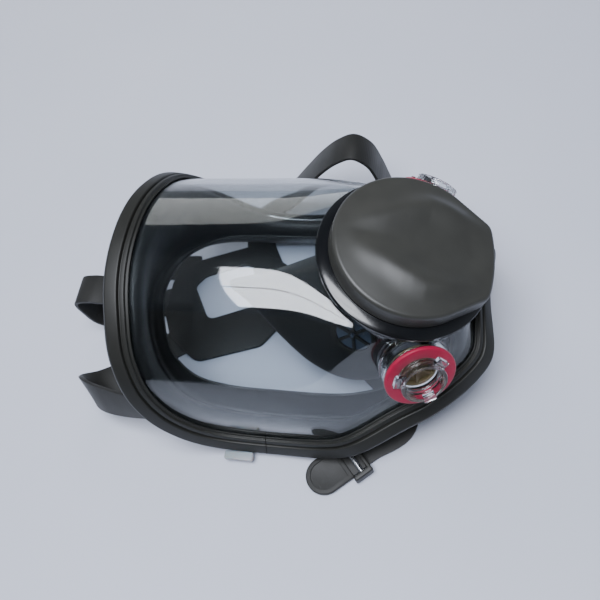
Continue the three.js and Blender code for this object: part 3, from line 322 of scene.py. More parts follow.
def turned(name, profile, place, steps=96, bevel=0.0):
    """Spins a closed outline of (radius, height) in millimetres round a place's own +Z."""
    bpy.ops.object.select_all(action="DESELECT")
    bpy.ops.mesh.primitive_circle_add(vertices=len(profile), radius=0.01, fill_type="NOTHING")
    piece = bpy.context.object
    piece.name = name
    for vertex, (radius, height) in zip(piece.data.vertices, profile):
        vertex.co = (radius * 0.001, 0, height * 0.001)
    bpy.ops.object.mode_set(mode="EDIT")
    bpy.ops.mesh.select_all(action="SELECT")
    bpy.ops.mesh.spin(steps=steps, angle=2 * math.pi, center=(0, 0, 0), axis=(0, 0, 1))
    bpy.ops.mesh.select_all(action="SELECT")
    bpy.ops.mesh.remove_doubles(threshold=1e-6)
    bpy.ops.mesh.delete_loose(use_verts=True, use_edges=True, use_faces=False)
    bpy.ops.mesh.select_all(action="SELECT")
    bpy.ops.mesh.normals_make_consistent(inside=False)
    bpy.ops.object.mode_set(mode="OBJECT")
    if bevel:
        round_edges(piece, bevel)
    piece.data.transform(place)
    smooth(piece)
    return piece


def round_edges(piece, width, segments=3):
    choose(piece)
    soften = piece.modifiers.new("soften", "BEVEL")
    soften.width = width * 0.001
    soften.segments = segments
    soften.limit_method = "ANGLE"
    soften.angle_limit = math.radians(35)
    bpy.ops.object.modifier_apply(modifier=soften.name)


def ring(inner, outer, low, high):
    return [(inner, low), (outer, low), (outer, high), (inner, high)]


visor_rows = 60
crown_target = np.array((0, -12, visor_axis_z + visor_radius))
outer_rows = [on_visor(crown_target + (edge - crown_target) * (i + 1) / visor_rows) for i in range(visor_rows)]
inner_rows = [on_visor(row, visor_wall) for row in outer_rows[:-1]]
inner_rows.append(from_edge(0, -visor_wall))
lip = [from_edge(out, height) for out, height in ((rim_lip, 0), (rim_lip, -visor_wall))]
crown = on_visor(crown_target)
inner_crown = on_visor(crown_target, visor_wall)
visor = skinned("visor_shell", outer_rows + lip + inner_rows[::-1],
                poles=(crown, inner_crown), crease=40)

collar_radius, collar_wall, collar_height = 45.5, 3.0, 2.5
collar_inner = collar_radius - collar_wall
collar = turned("collar", [
    (collar_inner - 3, -12), (collar_radius - 1.8, -12), (collar_radius, -8), (collar_radius, 1.6),
    (collar_radius - 0.3, 2.2), (collar_radius - 0.9, collar_height), (collar_inner + 0.3, collar_height),
    (collar_inner, collar_height - 0.3), (collar_inner, 0), (collar_inner - 3, 0)], unit_place, steps=160)
inside = skinned("inside", inner_rows, poles=(inner_crown, np.zeros(3)))
combine(collar, inside, "DIFFERENCE")
combine(visor, collar, "UNION")
combine(visor, turned("bore", [(0, -30), (31.5, -30), (31.5, 30), (0, 30)], unit_place, 128), "DIFFERENCE")
combine(visor, turned("mouth", [(0, 0), (collar_inner, 0), (collar_inner, 30), (0, 30)], unit_place, 160), "DIFFERENCE")
for place in port_places.values():
    combine(visor, turned("bore", [(0, -20), (16, -20), (16, 30), (0, 30)], place), "DIFFERENCE")
    combine(visor, turned("seat", [(0, 0.1), (19.2, 0.1), (19.2, 30), (0, 30)], place), "DIFFERENCE")
face_out(visor)
smooth(visor, 40)
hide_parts("visor")


def clear_moulding(name, colour, roughness, ior):
    """A see-through plastic: it mirrors and bends light, and lets the lamps through to what is behind, greyed partly by
    the plastic's real losses and partly by painted shade.
    """
    material, tree, shader = new_finish(name, **{
        "Base_Color": linear(colour), "Transmission_Weight": 1.0, "IOR": ior})
    where = add_node(tree, "ShaderNodeTexCoord", {})
    # Handling smears of about 20 mm make the polish a little uneven.
    smear = add_node(tree, "ShaderNodeTexNoise", {"Scale": 1 / 0.02, "Detail": 4.0}, {"Vector": where.outputs["Object"]})
    polish = add_node(tree, "ShaderNodeMapRange", {"To Min": roughness * 0.5, "To Max": roughness * 1.6},
                      {"Value": smear.outputs["Fac"]})
    tree.links.new(polish.outputs[0], shader.inputs["Roughness"])
    path = add_node(tree, "ShaderNodeLightPath", {})
    # The grey of the lamps' light let through is partly real loss in the plastic and partly painted shade that darkens
    # everything under the visor and the ports.
    hole = add_node(tree, "ShaderNodeBsdfTransparent", {"Color": linear("#cbcfd2")})
    mix = add_node(tree, "ShaderNodeMixShader", {}, {
        0: path.outputs["Is Shadow Ray"], 1: shader.outputs[0], 2: hole.outputs[0]})
    tree.links.new(mix.outputs[0], tree.nodes["Material Output"].inputs["Surface"])
    return material


# Polycarbonate: clear, hard-coated and highly polished, so it mirrors the room as sharp stripes. Its grey tint is
# partly the plastic's own faint tint and partly painted shade that dims the inside seen through it.
polycarbonate = clear_moulding("polycarbonate_polished", "#d3d8da", 0.03, 1.585)
dress(visor, polycarbonate)

# ---- Clamp frame ----
# Two glass-filled nylon mouldings that grip the visor's edge and the seal's flange in a slot, drawn
# together by a screw on each side. A ridge between two grooves runs beside the clear window.

band_width, band_proud, frame_wall = 15.0, 2.6, 2.0
seal_wall = 2.2
gap = 0.3
seal_top = -visor_wall - gap
back_lip = seal_top - seal_wall - gap
slot_floor = rim_lip + gap + 0.4
web_edge = slot_floor + frame_wall + 0.5
band_under = band_proud - frame_wall - 1.2
skirt = -4.2
frame_profile = [
    # out from the window, up from the visor, corner radius
    (0.2, 0.4, 0), (0.2, 1.1, 0.3), (1.6, 1.1, 0.3), (2.0, 2.5, 0.5), (4.3, 2.5, 0.5), (4.7, 0.7, 0.3),
    (5.7, 0.7, 0.3), (6.2, 2.7, 0.9), (13.2, 2.5, 1.6), (15.0, 0.4, 1.2), (15.0, skirt, 0.4),
    (13.0, skirt, 0.4), (13.0, band_under, 0.3), (web_edge, band_under, 0.3),
    (web_edge, back_lip - frame_wall, 0.5), (1, back_lip - frame_wall, 0.5), (1, back_lip, 0.2),
    (slot_floor, back_lip, 0), (slot_floor, 0.4, 0),
]


def rounded(profile, steps=4):
    """Rounds the corners of a closed outline of (x, y, radius)."""
    out = []
    for i, (x, y, radius) in enumerate(profile):
        here = Vector((x, y))
        if not radius:
            out.append((x, y))
            continue
        back_way = Vector(profile[i - 1][:2]) - here
        next_way = Vector(profile[(i + 1) % len(profile)][:2]) - here
        half = back_way.angle(next_way) / 2
        reach = min(radius / math.tan(half), back_way.length * 0.45, next_way.length * 0.45)
        start, end = here + back_way.normalized() * reach, here + next_way.normalized() * reach
        for k in range(steps + 1):
            t = k / steps
            out.append(tuple(start * (1 - t) ** 2 + here * 2 * t * (1 - t) + end * t ** 2))
    return out


seam_y = 25.0
right_side = np.arange(edge_count // 2)
seam = int(right_side[np.argmin(np.abs(edge[right_side, 1] - seam_y))])


def frame_run(name, profile, stations):
    """A run of frame between two stations, held a hair short of them so that a fine line shows."""
    rings = [np.array([edge[i] + edge_out[i] * out + edge_up[i] * rise for out, rise in profile]) for i in stations]
    rings[0] = rings[0] + edge_run[stations[0]] * 0.2
    rings[-1] = rings[-1] - edge_run[stations[-1]] * 0.2
    return skinned(name, rings)


band_profile = rounded(frame_profile)
halves = {
    "frame_lower": list(range(seam, edge_count - seam + 1)),
    "frame_upper": [s % edge_count for s in range(edge_count - seam, edge_count + seam + 1)],
}

# Glass-filled nylon: dark green-grey, spark-eroded in the mould to a fine satin grain of about
# 0.3 mm, drawn here at 0.7 mm so that it shows, with paler dust in patches of about 15 mm.
nylon, tree, shader = new_finish("nylon_glass_filled_satin", **{"Specular_IOR_Level": 0.45, "IOR": 1.53})
where = add_node(tree, "ShaderNodeTexCoord", {})
dust = add_node(tree, "ShaderNodeTexNoise", {"Scale": 1 / 0.015, "Detail": 5.0}, {"Vector": where.outputs["Object"]})
shade = add_node(tree, "ShaderNodeMix", {"data_type": "RGBA", 6: linear("#191916"), 7: linear("#22221e")},
                 {0: dust.outputs["Fac"]})
tree.links.new(shade.outputs[2], shader.inputs["Base Color"])
satin = add_node(tree, "ShaderNodeMapRange", {"To Min": 0.42, "To Max": 0.6}, {"Value": dust.outputs["Fac"]})
tree.links.new(satin.outputs[0], shader.inputs["Roughness"])
grain = add_node(tree, "ShaderNodeTexNoise", {"Scale": 1 / 0.0007, "Detail": 2.0}, {"Vector": where.outputs["Object"]})
relief = add_node(tree, "ShaderNodeBump", {"Strength": 0.12, "Distance": 0.0002}, {"Height": grain.outputs["Fac"]})
tree.links.new(relief.outputs[0], shader.inputs["Normal"])

ear_depth, ear_length = 6.6, 4.0
ear_profile = [(web_edge - 0.4, band_under + 0.4), (web_edge - 0.4, -ear_depth),
               (13.4, -ear_depth), (13.4, band_under + 0.4)]
spacing = float(np.linalg.norm(edge[1] - edge[0]))
ear_steps = max(2, round(ear_length / spacing))
seam_places = {}
for side, station in (("right", seam), ("left", edge_count - seam)):
    centre = edge[station] + edge_out[station] * (web_edge + 13) / 2 + edge_up[station] * (band_under - ear_depth) / 2
    axes = Matrix((edge_out[station], np.cross(edge_run[station], edge_out[station]), edge_run[station]))
    seam_places[side] = axes.transposed().to_4x4()
    seam_places[side].translation = datum + Vector(centre) * 0.001
for name, stations in halves.items():
    half = frame_run(name + "_moulding", band_profile, stations)
    ears = [frame_run("ear", ear_profile, stations[:ear_steps + 1]), frame_run("ear", ear_profile, stations[-ear_steps - 1:])]
    choose(half)
    for ear in ears:
        ear.select_set(True)
    bpy.ops.object.join()
    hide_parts(name)
    dress(half, nylon)

# ---- Central unit ----
# A glossy black ABS body sits in the visor's clear collar on a red seal ring and is locked from
# inside; it carries the exhalation valve, and its snout goes into the nose cup.

bore = 31.5
tube = bore - 0.6
flange = collar_inner - 0.7
snout, snout_depth = 24.0, 22.0
boss_depth, lock_height = 6.0, 3.7
snout_top = -boss_depth - lock_height - 1
adapter = turned("exhalation_body", [
    (snout - 2.6, -snout_depth), (snout, -snout_depth), (snout, snout_top), (tube, snout_top), (tube, gap),
    (flange, gap), (flange, collar_height + gap), (collar_radius + gap, collar_height + gap),
    (collar_radius + gap, 0.8), (collar_radius + 1.6, 0.8), (collar_radius + 1.6, 3.8), (flange + 0.6, 6.2), (flange - 3, 6.2), (flange - 3, 3.3),
    (tube, 3.3), (tube, 13.5), (tube - 2.6, 13.5), (tube - 2.6, 1.7), (tube - 5.1, 1.7), (tube - 5.1, -4),
    (snout - 2.6, snout_top + 2.5)], unit_place, 128, bevel=0.35)
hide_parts("adapter_body")

# ABS: black, straight from a polished mould, with faint flow marks.
abs_black, tree, shader = new_finish("abs_black_polished", **{
    "Base_Color": linear("#0e0f11"), "IOR": 1.53, "Coat_Weight": 0.3, "Coat_Roughness": 0.06})
where = add_node(tree, "ShaderNodeTexCoord", {})
flow = add_node(tree, "ShaderNodeTexNoise", {"Scale": 1 / 0.008, "Detail": 3.0}, {"Vector": where.outputs["Object"]})
polish = add_node(tree, "ShaderNodeMapRange", {"To Min": 0.12, "To Max": 0.26}, {"Value": flow.outputs["Fac"]})
tree.links.new(polish.outputs[0], shader.inputs["Roughness"])
dress(adapter, abs_black)

lock_top = -boss_depth - gap
lock = turned("unit_lock_ring", ring(tube + gap, 34.5, lock_top - lock_height, lock_top), unit_place, 128, bevel=0.3)
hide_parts("adapter_lock_ring")
dress(lock, abs_black)

seal_ring = turned("unit_seal_ring", ring(tube + gap, flange - 3 - gap, 3.3 + gap, 5.6), unit_place, 128, bevel=0.5)
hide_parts("adapter_seal_ring")

# Silicone rubber, pigmented crimson and moulded with a fine matt skin.
crimson, tree, shader = new_finish("silicone_crimson", **{"IOR": 1.41, "Sheen_Weight": 0.15, "Sheen_Roughness": 0.4})
where = add_node(tree, "ShaderNodeTexCoord", {})
skin = add_node(tree, "ShaderNodeTexNoise", {"Scale": 1 / 0.004, "Detail": 4.0}, {"Vector": where.outputs["Object"]})
shade = add_node(tree, "ShaderNodeMix", {"data_type": "RGBA", 6: linear("#8f0430"), 7: linear("#a8083a")},
                 {0: skin.outputs["Fac"]})
tree.links.new(shade.outputs[2], shader.inputs["Base Color"])
soft = add_node(tree, "ShaderNodeMapRange", {"To Min": 0.4, "To Max": 0.58}, {"Value": skin.outputs["Fac"]})
tree.links.new(soft.outputs[0], shader.inputs["Roughness"])
dress(seal_ring, crimson)

# ---- Valves ----
# Each valve is a thin silicone disc held at its middle by a stem pushed through a spoked seat.
# The seats are clipped in; the discs lift off them one way only.


def spoked_seat(name, rim, hub, hole, low, high, place, spoke_width, spokes=6):
    seat = turned(name, ring(rim[0], rim[1], low, high), place, 96, bevel=0.25)
    combine(seat, turned("hub", ring(hole, hub, low, high), place, 48, bevel=0.2), "UNION")
    reach = (rim[0] + 0.5) - (hub - 0.4)
    for i in range(spokes):
        bpy.ops.mesh.primitive_cube_add(size=1)
        spoke = bpy.context.object
        size = Matrix.Diagonal((reach * 0.001, spoke_width * 0.001, (high - low - 0.1) * 0.001, 1))
        middle = Matrix.Translation((((hub - 0.4) + reach / 2) * 0.001, 0, (low + high) / 2 * 0.001))
        spoke.data.transform(Matrix.Rotation(2 * math.pi * i / spokes, 4, "Z") @ middle @ size)
        spoke.data.transform(place)
        combine(seat, spoke, "UNION")
    face_out(seat)
    smooth(seat)
    return seat


def valve_disc(name, radius, low, high, stem, stem_low, stem_high, place):
    """A disc with a thickened rim and a stem, spun in one piece; the stem may stand on either side."""
    if stem_high > high:
        profile = [(0, low), (radius - 0.6, low), (radius, low + 0.3), (radius, high), (stem, high),
                   (stem, stem_high - 0.4), (stem * 0.5, stem_high), (0, stem_high)]
    else:
        profile = [(0, stem_low), (stem * 0.5, stem_low), (stem, stem_low + 0.4), (stem, low), (radius, low),
                   (radius, high - 0.3), (radius - 0.6, high), (0, high)]
    return turned(name, profile, place, 96)


# Silicone rubber, natural: milky blue-grey and half see-through.
natural, tree, shader = new_finish("silicone_natural", **{
    "Base_Color": linear("#8d98a3"), "IOR": 1.41, "Subsurface_Weight": 0.15})
where = add_node(tree, "ShaderNodeTexCoord", {})
cloud = add_node(tree, "ShaderNodeTexNoise", {"Scale": 1 / 0.003, "Detail": 3.0}, {"Vector": where.outputs["Object"]})
soft = add_node(tree, "ShaderNodeMapRange", {"To Min": 0.3, "To Max": 0.5}, {"Value": cloud.outputs["Fac"]})
tree.links.new(soft.outputs[0], shader.inputs["Roughness"])

# Natural rubber for the inhalation discs: translucent brown.
amber, tree, shader = new_finish("natural_rubber_brown", **{"IOR": 1.52, "Subsurface_Weight": 0.1})
where = add_node(tree, "ShaderNodeTexCoord", {})
cloud = add_node(tree, "ShaderNodeTexNoise", {"Scale": 1 / 0.003, "Detail": 3.0}, {"Vector": where.outputs["Object"]})
shade = add_node(tree, "ShaderNodeMix", {"data_type": "RGBA", 6: linear("#4a402c"), 7: linear("#5f5238")},
                 {0: cloud.outputs["Fac"]})
tree.links.new(shade.outputs[2], shader.inputs["Base Color"])

# Dark slate disc of the nose cup's valves, seen between their spokes.
slate, tree, shader = new_finish("silicone_slate", **{"IOR": 1.41})
where = add_node(tree, "ShaderNodeTexCoord", {})
cloud = add_node(tree, "ShaderNodeTexNoise", {"Scale": 1 / 0.005, "Detail": 3.0}, {"Vector": where.outputs["Object"]})
shade = add_node(tree, "ShaderNodeMix", {"data_type": "RGBA", 6: linear("#39404c"), 7: linear("#4a5464")},
                 {0: cloud.outputs["Fac"]})
tree.links.new(shade.outputs[2], shader.inputs["Base Color"])

seat_low, seat_high = 2.0, 4.0
exhale_seat = spoked_seat("exhalation_seat", (22, tube - 2.9), 4, 1.9, seat_low, seat_high, unit_place, 1.8)
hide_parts("exhale_valve_seat")
dress(exhale_seat, abs_black)
exhale_disc = valve_disc("exhalation_disc", 24, seat_high + gap, seat_high + gap + 1.2, 1.5, 0.5, 0, unit_place)
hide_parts("exhale_valve_flap")
dress(exhale_disc, natural, "exhale_flap")

# ---- Cover ----
# A pressed-on nylon cap over the exhalation valve, its outline a circle drawn out into a blunt chin.
# Two soft ridges sweep from the forehead side to the chin corners with a shallow valley between.

cover_radius, cover_wall, cover_edge, cover_skirt, cover_dome = 41.5, 2.2, 17.5, 10.5, 4.5
chin_length, chin_half = 44.2, 22.0
outline_count = 180


def cover_outline(inset):
    """The cap's outline, anticlockwise from its right-hand tangent point, evenly spaced."""
    radius, half = cover_radius - inset, chin_half - inset * 0.6
    corner = -(chin_length - 2.6 - inset)
    tangent = math.atan2(corner, half) + math.acos(min(radius / math.hypot(half, corner), 1))
    points = [(radius * math.cos(a), radius * math.sin(a)) for a in np.linspace(tangent, math.pi - tangent, 160)]

    def curve(start, bend, end, steps=16):
        for t in np.linspace(0, 1, steps):
            points.append(tuple(np.array(start) * (1 - t) ** 2 + np.array(bend) * 2 * t * (1 - t) + np.array(end) * t * t))

    curve((-half - 1.6, corner + 3), (-half - 0.1, corner + 0.3), (-half + 3, corner - 0.6))
    curve((-half + 3, corner - 0.6), (0, corner - 4.6), (half - 3, corner - 0.6), 40)
    curve((half - 3, corner - 0.6), (half + 0.1, corner + 0.3), (half + 1.6, corner + 3))
    ends = np.array(points + points[:1])
    reach = np.concatenate([[0], np.cumsum(np.linalg.norm(np.diff(ends, axis=0), axis=1))])
    steps = np.linspace(0, reach[-1], outline_count, endpoint=False)
    return np.stack([np.interp(steps, reach, ends[:, k]) for k in range(2)], axis=1)


def cover_height(points, share):
    """Height of the cap's top: a low dome with two ridges that spread from forehead to chin."""
    x, y = np.abs(points[:, 0]), points[:, 1]
    line = np.interp(y, (-44, -34, -20, -7, 5, 15, 30, 41), (26, 25, 23.5, 23, 18.5, 13.5, 8, 5))
    strength = np.interp(y, (-44, -25, 0, 22, 36), (2.4, 3.0, 2.7, 1.3, 0.0))
    fade = np.clip((1 - share) / 0.3, 0, 1)
    fade = fade * fade * (3 - 2 * fade)
    ridge = strength * (np.exp(-((x - line) / 7.5) ** 2) - 0.62 * np.exp(-(x / (line * 0.62)) ** 2))
    return cover_edge + cover_dome * (1 - share ** 2) * 0.9 + ridge * fade


def cover_row(inset, height, share=1.0):
    flat = cover_outline(inset) * share
    height = cover_height(flat, share) if height is None else np.full(len(flat), height)
    world_row = [unit_place @ Vector((x * 0.001, y * 0.001, z * 0.001)) for (x, y), z in zip(flat, height)]
    return [(p - datum) * 1000 for p in world_row]


bottom = cover_edge - cover_skirt
edge_round = 2.4
shares = [0.985, 0.96, 0.93] + list(np.linspace(0.9, 0.04, 26))
outer = [cover_row(0, bottom), cover_row(-0.05, bottom + 3), cover_row(0, cover_edge - edge_round)]
outer += [cover_row(edge_round * (1 - math.cos(a)), cover_edge - edge_round * (1 - math.sin(a)))
          for a in np.radians((15, 30, 45, 60, 75, 90))]
outer += [cover_row(edge_round, None, share) for share in shares]
inner = [cover_row(cover_wall, bottom), cover_row(cover_wall, cover_edge - edge_round - 1)]
inner += [cover_row(edge_round + 1.2, cover_edge - 1.6)]
inner += [[Vector(p) - Vector(unit_axis) * cover_wall for p in cover_row(edge_round, None, share)] for share in shares[2:]]
pole = sum((Vector(p) for p in outer[-1]), Vector()) / outline_count
cover = skinned("exhalation_cover", inner[::-1] + outer, poles=(pole - Vector(unit_axis) * cover_wall, pole))
clip_low = 9.5
clip = turned("clip", ring(tube + gap, tube + 2.3, clip_low, cover_edge - 0.4), unit_place, 128)
for quarter in (0, math.pi / 2):
    bpy.ops.mesh.primitive_cube_add(size=1)
    vent = bpy.context.object
    vent.data.transform(unit_place @ Matrix.Rotation(quarter, 4, "Z") @ Matrix.Translation((0, 0, 0.0117))
                        @ Matrix.Diagonal((0.1, 0.016, 0.0045, 1)))
    combine(clip, vent, "DIFFERENCE")
combine(cover, clip, "UNION")
face_out(cover)
smooth(cover, 32)
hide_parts("exhale_cover")

# Nylon again, but from a smoother mould, so the cap has a soft even sheen.
cap_nylon, tree, shader = new_finish("nylon_smooth_satin", **{"IOR": 1.53, "Specular_IOR_Level": 0.5})
where = add_node(tree, "ShaderNodeTexCoord", {})
haze = add_node(tree, "ShaderNodeTexNoise", {"Scale": 1 / 0.012, "Detail": 5.0}, {"Vector": where.outputs["Object"]})
shade = add_node(tree, "ShaderNodeMix", {"data_type": "RGBA", 6: linear("#2f2f2c"), 7: linear("#383834")},
                 {0: haze.outputs["Fac"]})
tree.links.new(shade.outputs[2], shader.inputs["Base Color"])
satin = add_node(tree, "ShaderNodeMapRange", {"To Min": 0.36, "To Max": 0.46}, {"Value": haze.outputs["Fac"]})
tree.links.new(satin.outputs[0], shader.inputs["Roughness"])
grain = add_node(tree, "ShaderNodeTexNoise", {"Scale": 1 / 0.0006, "Detail": 2.0}, {"Vector": where.outputs["Object"]})
relief = add_node(tree, "ShaderNodeBump", {"Strength": 0.05, "Distance": 0.0001}, {"Height": grain.outputs["Fac"]})
tree.links.new(relief.outputs[0], shader.inputs["Normal"])
dress(cover, cap_nylon, "cover")

# ---- Filter ports ----
# A clear bayonet connector on each cheek: a drum seated on the visor, a narrower tube with three
# lugs, a thick red gasket round the tube, and a lock ring inside. The filter twists onto the lugs.

# Clear polycarbonate again, from a plainer mould with a duller polish.
port_clear = clear_moulding("polycarbonate_port", "#eef1f2", 0.07, 1.585)
drum, drum_height, tube_radius, tube_height, tube_wall = 18.5, 10.2, 12.2, 18.6, 2.0
tail, tail_depth = 15.6, 6.4
port_bore = tube_radius - tube_wall
shelf = drum_height - tube_wall
for side, place in port_places.items():
    connector = turned(f"port_{side}_bayonet", [
        (tail - 2, -tail_depth), (tail, -tail_depth), (tail, 0.4), (drum + 0.3, 0.4), (drum + 0.3, 1.8),
        (drum - 0.5, 2.2), (drum - 0.5, 4.2), (drum, 4.6), (drum, drum_height), (tube_radius, drum_height),
        (tube_radius, tube_height), (port_bore, tube_height), (port_bore, 15), (port_bore - 0.5, 14.6),
        (port_bore - 0.5, 14.0), (port_bore, 13.6), (port_bore, 12.6), (port_bore - 0.6, 12.2),
        (port_bore - 0.6, 11.6), (port_bore, 11.2), (port_bore, shelf), (tail - 2, shelf)], place, 96, bevel=0.3)
    for i in range(3):
        bpy.ops.mesh.primitive_cube_add(size=1)
        lug = bpy.context.object
        lug.data.transform(Matrix.Diagonal((0.0044, 0.007, 0.0026, 1)))
        round_edges(lug, 0.5)
        angle = math.radians(75 + 120 * i)
        lug.data.transform(Matrix.Rotation(angle, 4, "Z") @ Matrix.Translation((0.0134, 0, 0.0158)))
        lug.data.transform(place)
        combine(connector, lug, "UNION")
    face_out(connector)
    smooth(connector)
    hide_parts(f"port_connector_{side}")
    dress(connector, port_clear)

    low = drum_height + gap
    gasket = turned(f"port_{side}_gasket", [
        (tube_radius + gap, low), (18.2, low), (19.0, low + 0.6), (19.0, low + 1.9), (18.5, low + 2.5),
        (17.6, low + 2.6), (tube_radius + 1.0, low + 2.6), (tube_radius + gap, low + 2.2)], place, 96, bevel=0.25)
    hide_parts(f"port_gasket_{side}")
    dress(gasket, crimson)

    port_lock = turned(f"port_{side}_lock_ring", ring(tail + gap, 17.6, -6.2, -4.2), place, 96, bevel=0.25)
    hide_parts(f"port_lock_ring_{side}")
    dress(port_lock, port_clear)

    seat_top = shelf - gap
    port_seat = spoked_seat(f"port_{side}_seat", (port_bore - 1, tail - 2 - gap), 2.8, 1.5, seat_top - 2, seat_top, place, 1.4)
    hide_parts(f"inhale_valve_seat_{side}")
    dress(port_seat, amber)
    disc_top = seat_top - 2 - gap
    port_disc = valve_disc(f"port_{side}_disc", port_bore + 1, disc_top - 1.2, disc_top, 1.1, 0, seat_top + 1.5, place)
    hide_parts(f"inhale_valve_flap_{side}")
    dress(port_disc, amber, f"inhale_flap_{side}")

# ---- Face seal ----
# A black silicone skirt whose flange is clamped with the visor's edge; it turns in at the bottom to
# a soft lip that rests round the face.

foot = closed_curve([
    (0, 110, 40), (-28, 105, 33), (-48, 94, 22), (-60, 74, 10), (-63, 48, 5.5), (-63.5, 15, 5),
    (-62, -15, 5), (-55, -42, 5), (-42, -62, 6), (-22, -76, 8), (0, -81, 9)], edge_count)
lip_line = closed_curve([
    (0, 96, 46), (-22, 93, 42), (-38, 86, 36), (-50, 70, 32), (-54, 50, 29), (-54.5, 20, 27),
    (-54, -5, 26), (-51, -28, 25), (-42, -50, 25), (-24, -66, 26), (0, -72, 27)], edge_count)
every = slice(None, None, 2)
seal_rows = [
    from_edge(rim_lip - 0.3, seal_top)[every], from_edge(-1, seal_top)[every], from_edge(-4, seal_top - 1.5)[every],
    from_edge(-4.5, seal_top - 8)[every], ((from_edge(-3, seal_top - 11) + foot) / 2)[every], foot[every],
    (foot * 0.6 + lip_line * 0.4 - (0, 0, 3))[every], lip_line[every],
]
seal_grid = np.array(seal_rows)
down = np.gradient(seal_grid, axis=0)
along = np.roll(seal_grid, -1, axis=1) - np.roll(seal_grid, 1, axis=1)
seal_inner = seal_grid + unit_length(np.cross(down, along)) * seal_wall
face_seal = skinned("face_seal_skirt", list(seal_grid) + list(seal_inner[::-1]), looped=True, crease=180)
choose(face_seal)
soften = face_seal.modifiers.new("soften", "SUBSURF")
soften.levels = soften.render_levels = 1
bpy.ops.object.modifier_apply(modifier=soften.name)
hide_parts("face_seal")

# Silicone rubber, black, with a fine matt skin and a little dust.
black_silicone, tree, shader = new_finish("silicone_black_matt", **{"IOR": 1.41, "Sheen_Weight": 0.1})
where = add_node(tree, "ShaderNodeTexCoord", {})
dust = add_node(tree, "ShaderNodeTexNoise", {"Scale": 1 / 0.01, "Detail": 6.0}, {"Vector": where.outputs["Object"]})
shade = add_node(tree, "ShaderNodeMix", {"data_type": "RGBA", 6: linear("#0c0d0d"), 7: linear("#151717")},
                 {0: dust.outputs["Fac"]})
tree.links.new(shade.outputs[2], shader.inputs["Base Color"])
soft = add_node(tree, "ShaderNodeMapRange", {"To Min": 0.4, "To Max": 0.6}, {"Value": dust.outputs["Fac"]})
tree.links.new(soft.outputs[0], shader.inputs["Roughness"])
dress(face_seal, black_silicone)

# ---- Nose cup ----
# A black silicone inner mask stretched over the central unit's snout; it closes round nose and
# mouth, and a spoked valve in each cheek lets air in from the visor space.

cup_steps = 96
cup_wall = 2.0
cup_rim = closed_curve([
    (0, 54, 57), (-11, 38, 47), (-25, 20, 35), (-36, 2, 24), (-41, -16, 18), (-39, -36, 16),
    (-29, -51, 17), (-14, -58, 18), (0, -60, 19)], cup_steps)
cup_middle = np.array((0, -14, 22))


def neck_row(radius, height):
    turns = [math.pi / 2 + 2 * math.pi * i / cup_steps for i in range(cup_steps)]
    row = [unit_place @ (Vector((radius * math.cos(a), radius * math.sin(a), height)) * 0.001) for a in turns]
    return np.array([(p - datum) * 1000 for p in row])


neck_end = neck_row(snout + gap + cup_wall, -snout_depth)
away = (cup_rim - cup_middle) * (1, 1, 0)
away = unit_length(away)
cup_rows = [neck_row(snout + gap + cup_wall, snout_top - 0.6), neck_end]
cup_rows += [neck_end * (1 - s) + cup_rim * s + away * bulge for s, bulge in
             ((0.1, 0.8), (0.2, 1.5), (0.31, 2.1), (0.42, 2.4), (0.53, 2.5), (0.64, 2.4), (0.74, 2.1), (0.84, 1.6), (0.93, 0.8))]
cup_rows += [cup_rim, cup_rim * 0.84 + cup_middle * 0.16 - (0, 0, 1.5)]
cup_grid = np.array(cup_rows)
down = np.gradient(cup_grid, axis=0)
along = np.roll(cup_grid, -1, axis=1) - np.roll(cup_grid, 1, axis=1)
cup_inner = cup_grid - unit_length(np.cross(down, along)) * cup_wall
nose_cup = skinned("nose_cup_moulding", list(cup_grid) + list(cup_inner[::-1]), looped=True, crease=180)
choose(nose_cup)
soften = nose_cup.modifiers.new("soften", "SUBSURF")
soften.levels = soften.render_levels = 1
bpy.ops.object.modifier_apply(modifier=soften.name)

cup_valve_axis = np.array(joints["cup_flap_right_open"]["axis"]) * -1
cup_valve_base = np.array((-31.5, -27, 58))
cup_places = {"right": stand(cup_valve_base, cup_valve_axis), "left": stand(cup_valve_base * mirror, cup_valve_axis * mirror)}
for side, place in cup_places.items():
    combine(nose_cup, turned("boss", ring(10.5, 13, -7, -2.2), place, 64), "UNION")
    combine(nose_cup, turned("bore", [(0, -12), (10.5, -12), (10.5, 12), (0, 12)], place, 64), "DIFFERENCE")
    combine(nose_cup, turned("room", [(0, -2.2), (13.5, -2.2), (13.5, 12), (0, 12)], place, 64), "DIFFERENCE")
    low = -2.2 + gap
    cup_seat = spoked_seat(f"cup_{side}_seat", (10, 13), 2.6, 1.4, low, low + 1.6, place, 1.4)
    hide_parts(f"cup_valve_seat_{side}")
    dress(cup_seat, nylon)
    cup_disc = valve_disc(f"cup_{side}_disc", 10, low - gap - 0.8, low - gap, 1.0, 0, low + 3.0, place)
    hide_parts(f"cup_valve_flap_{side}")
    dress(cup_disc, slate, f"cup_flap_{side}")
face_out(nose_cup)
smooth(nose_cup, 40)
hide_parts("nose_cup")
dress(nose_cup, black_silicone)

# ---- Head harness ----
# One compression-moulded rubber piece: a pad with a hole for the back of the head and five straps.
# Three upper straps fold back to clips behind the frame, two cheek straps run to steel-bar buckles.

strap_width, strap_thickness = 20.0, 2.2
strap_profile = rounded([(-10, -1.1, 0.5), (10, -1.1, 0.5), (10, 1.1, 0.5), (-10, 1.1, 0.5)], 2)


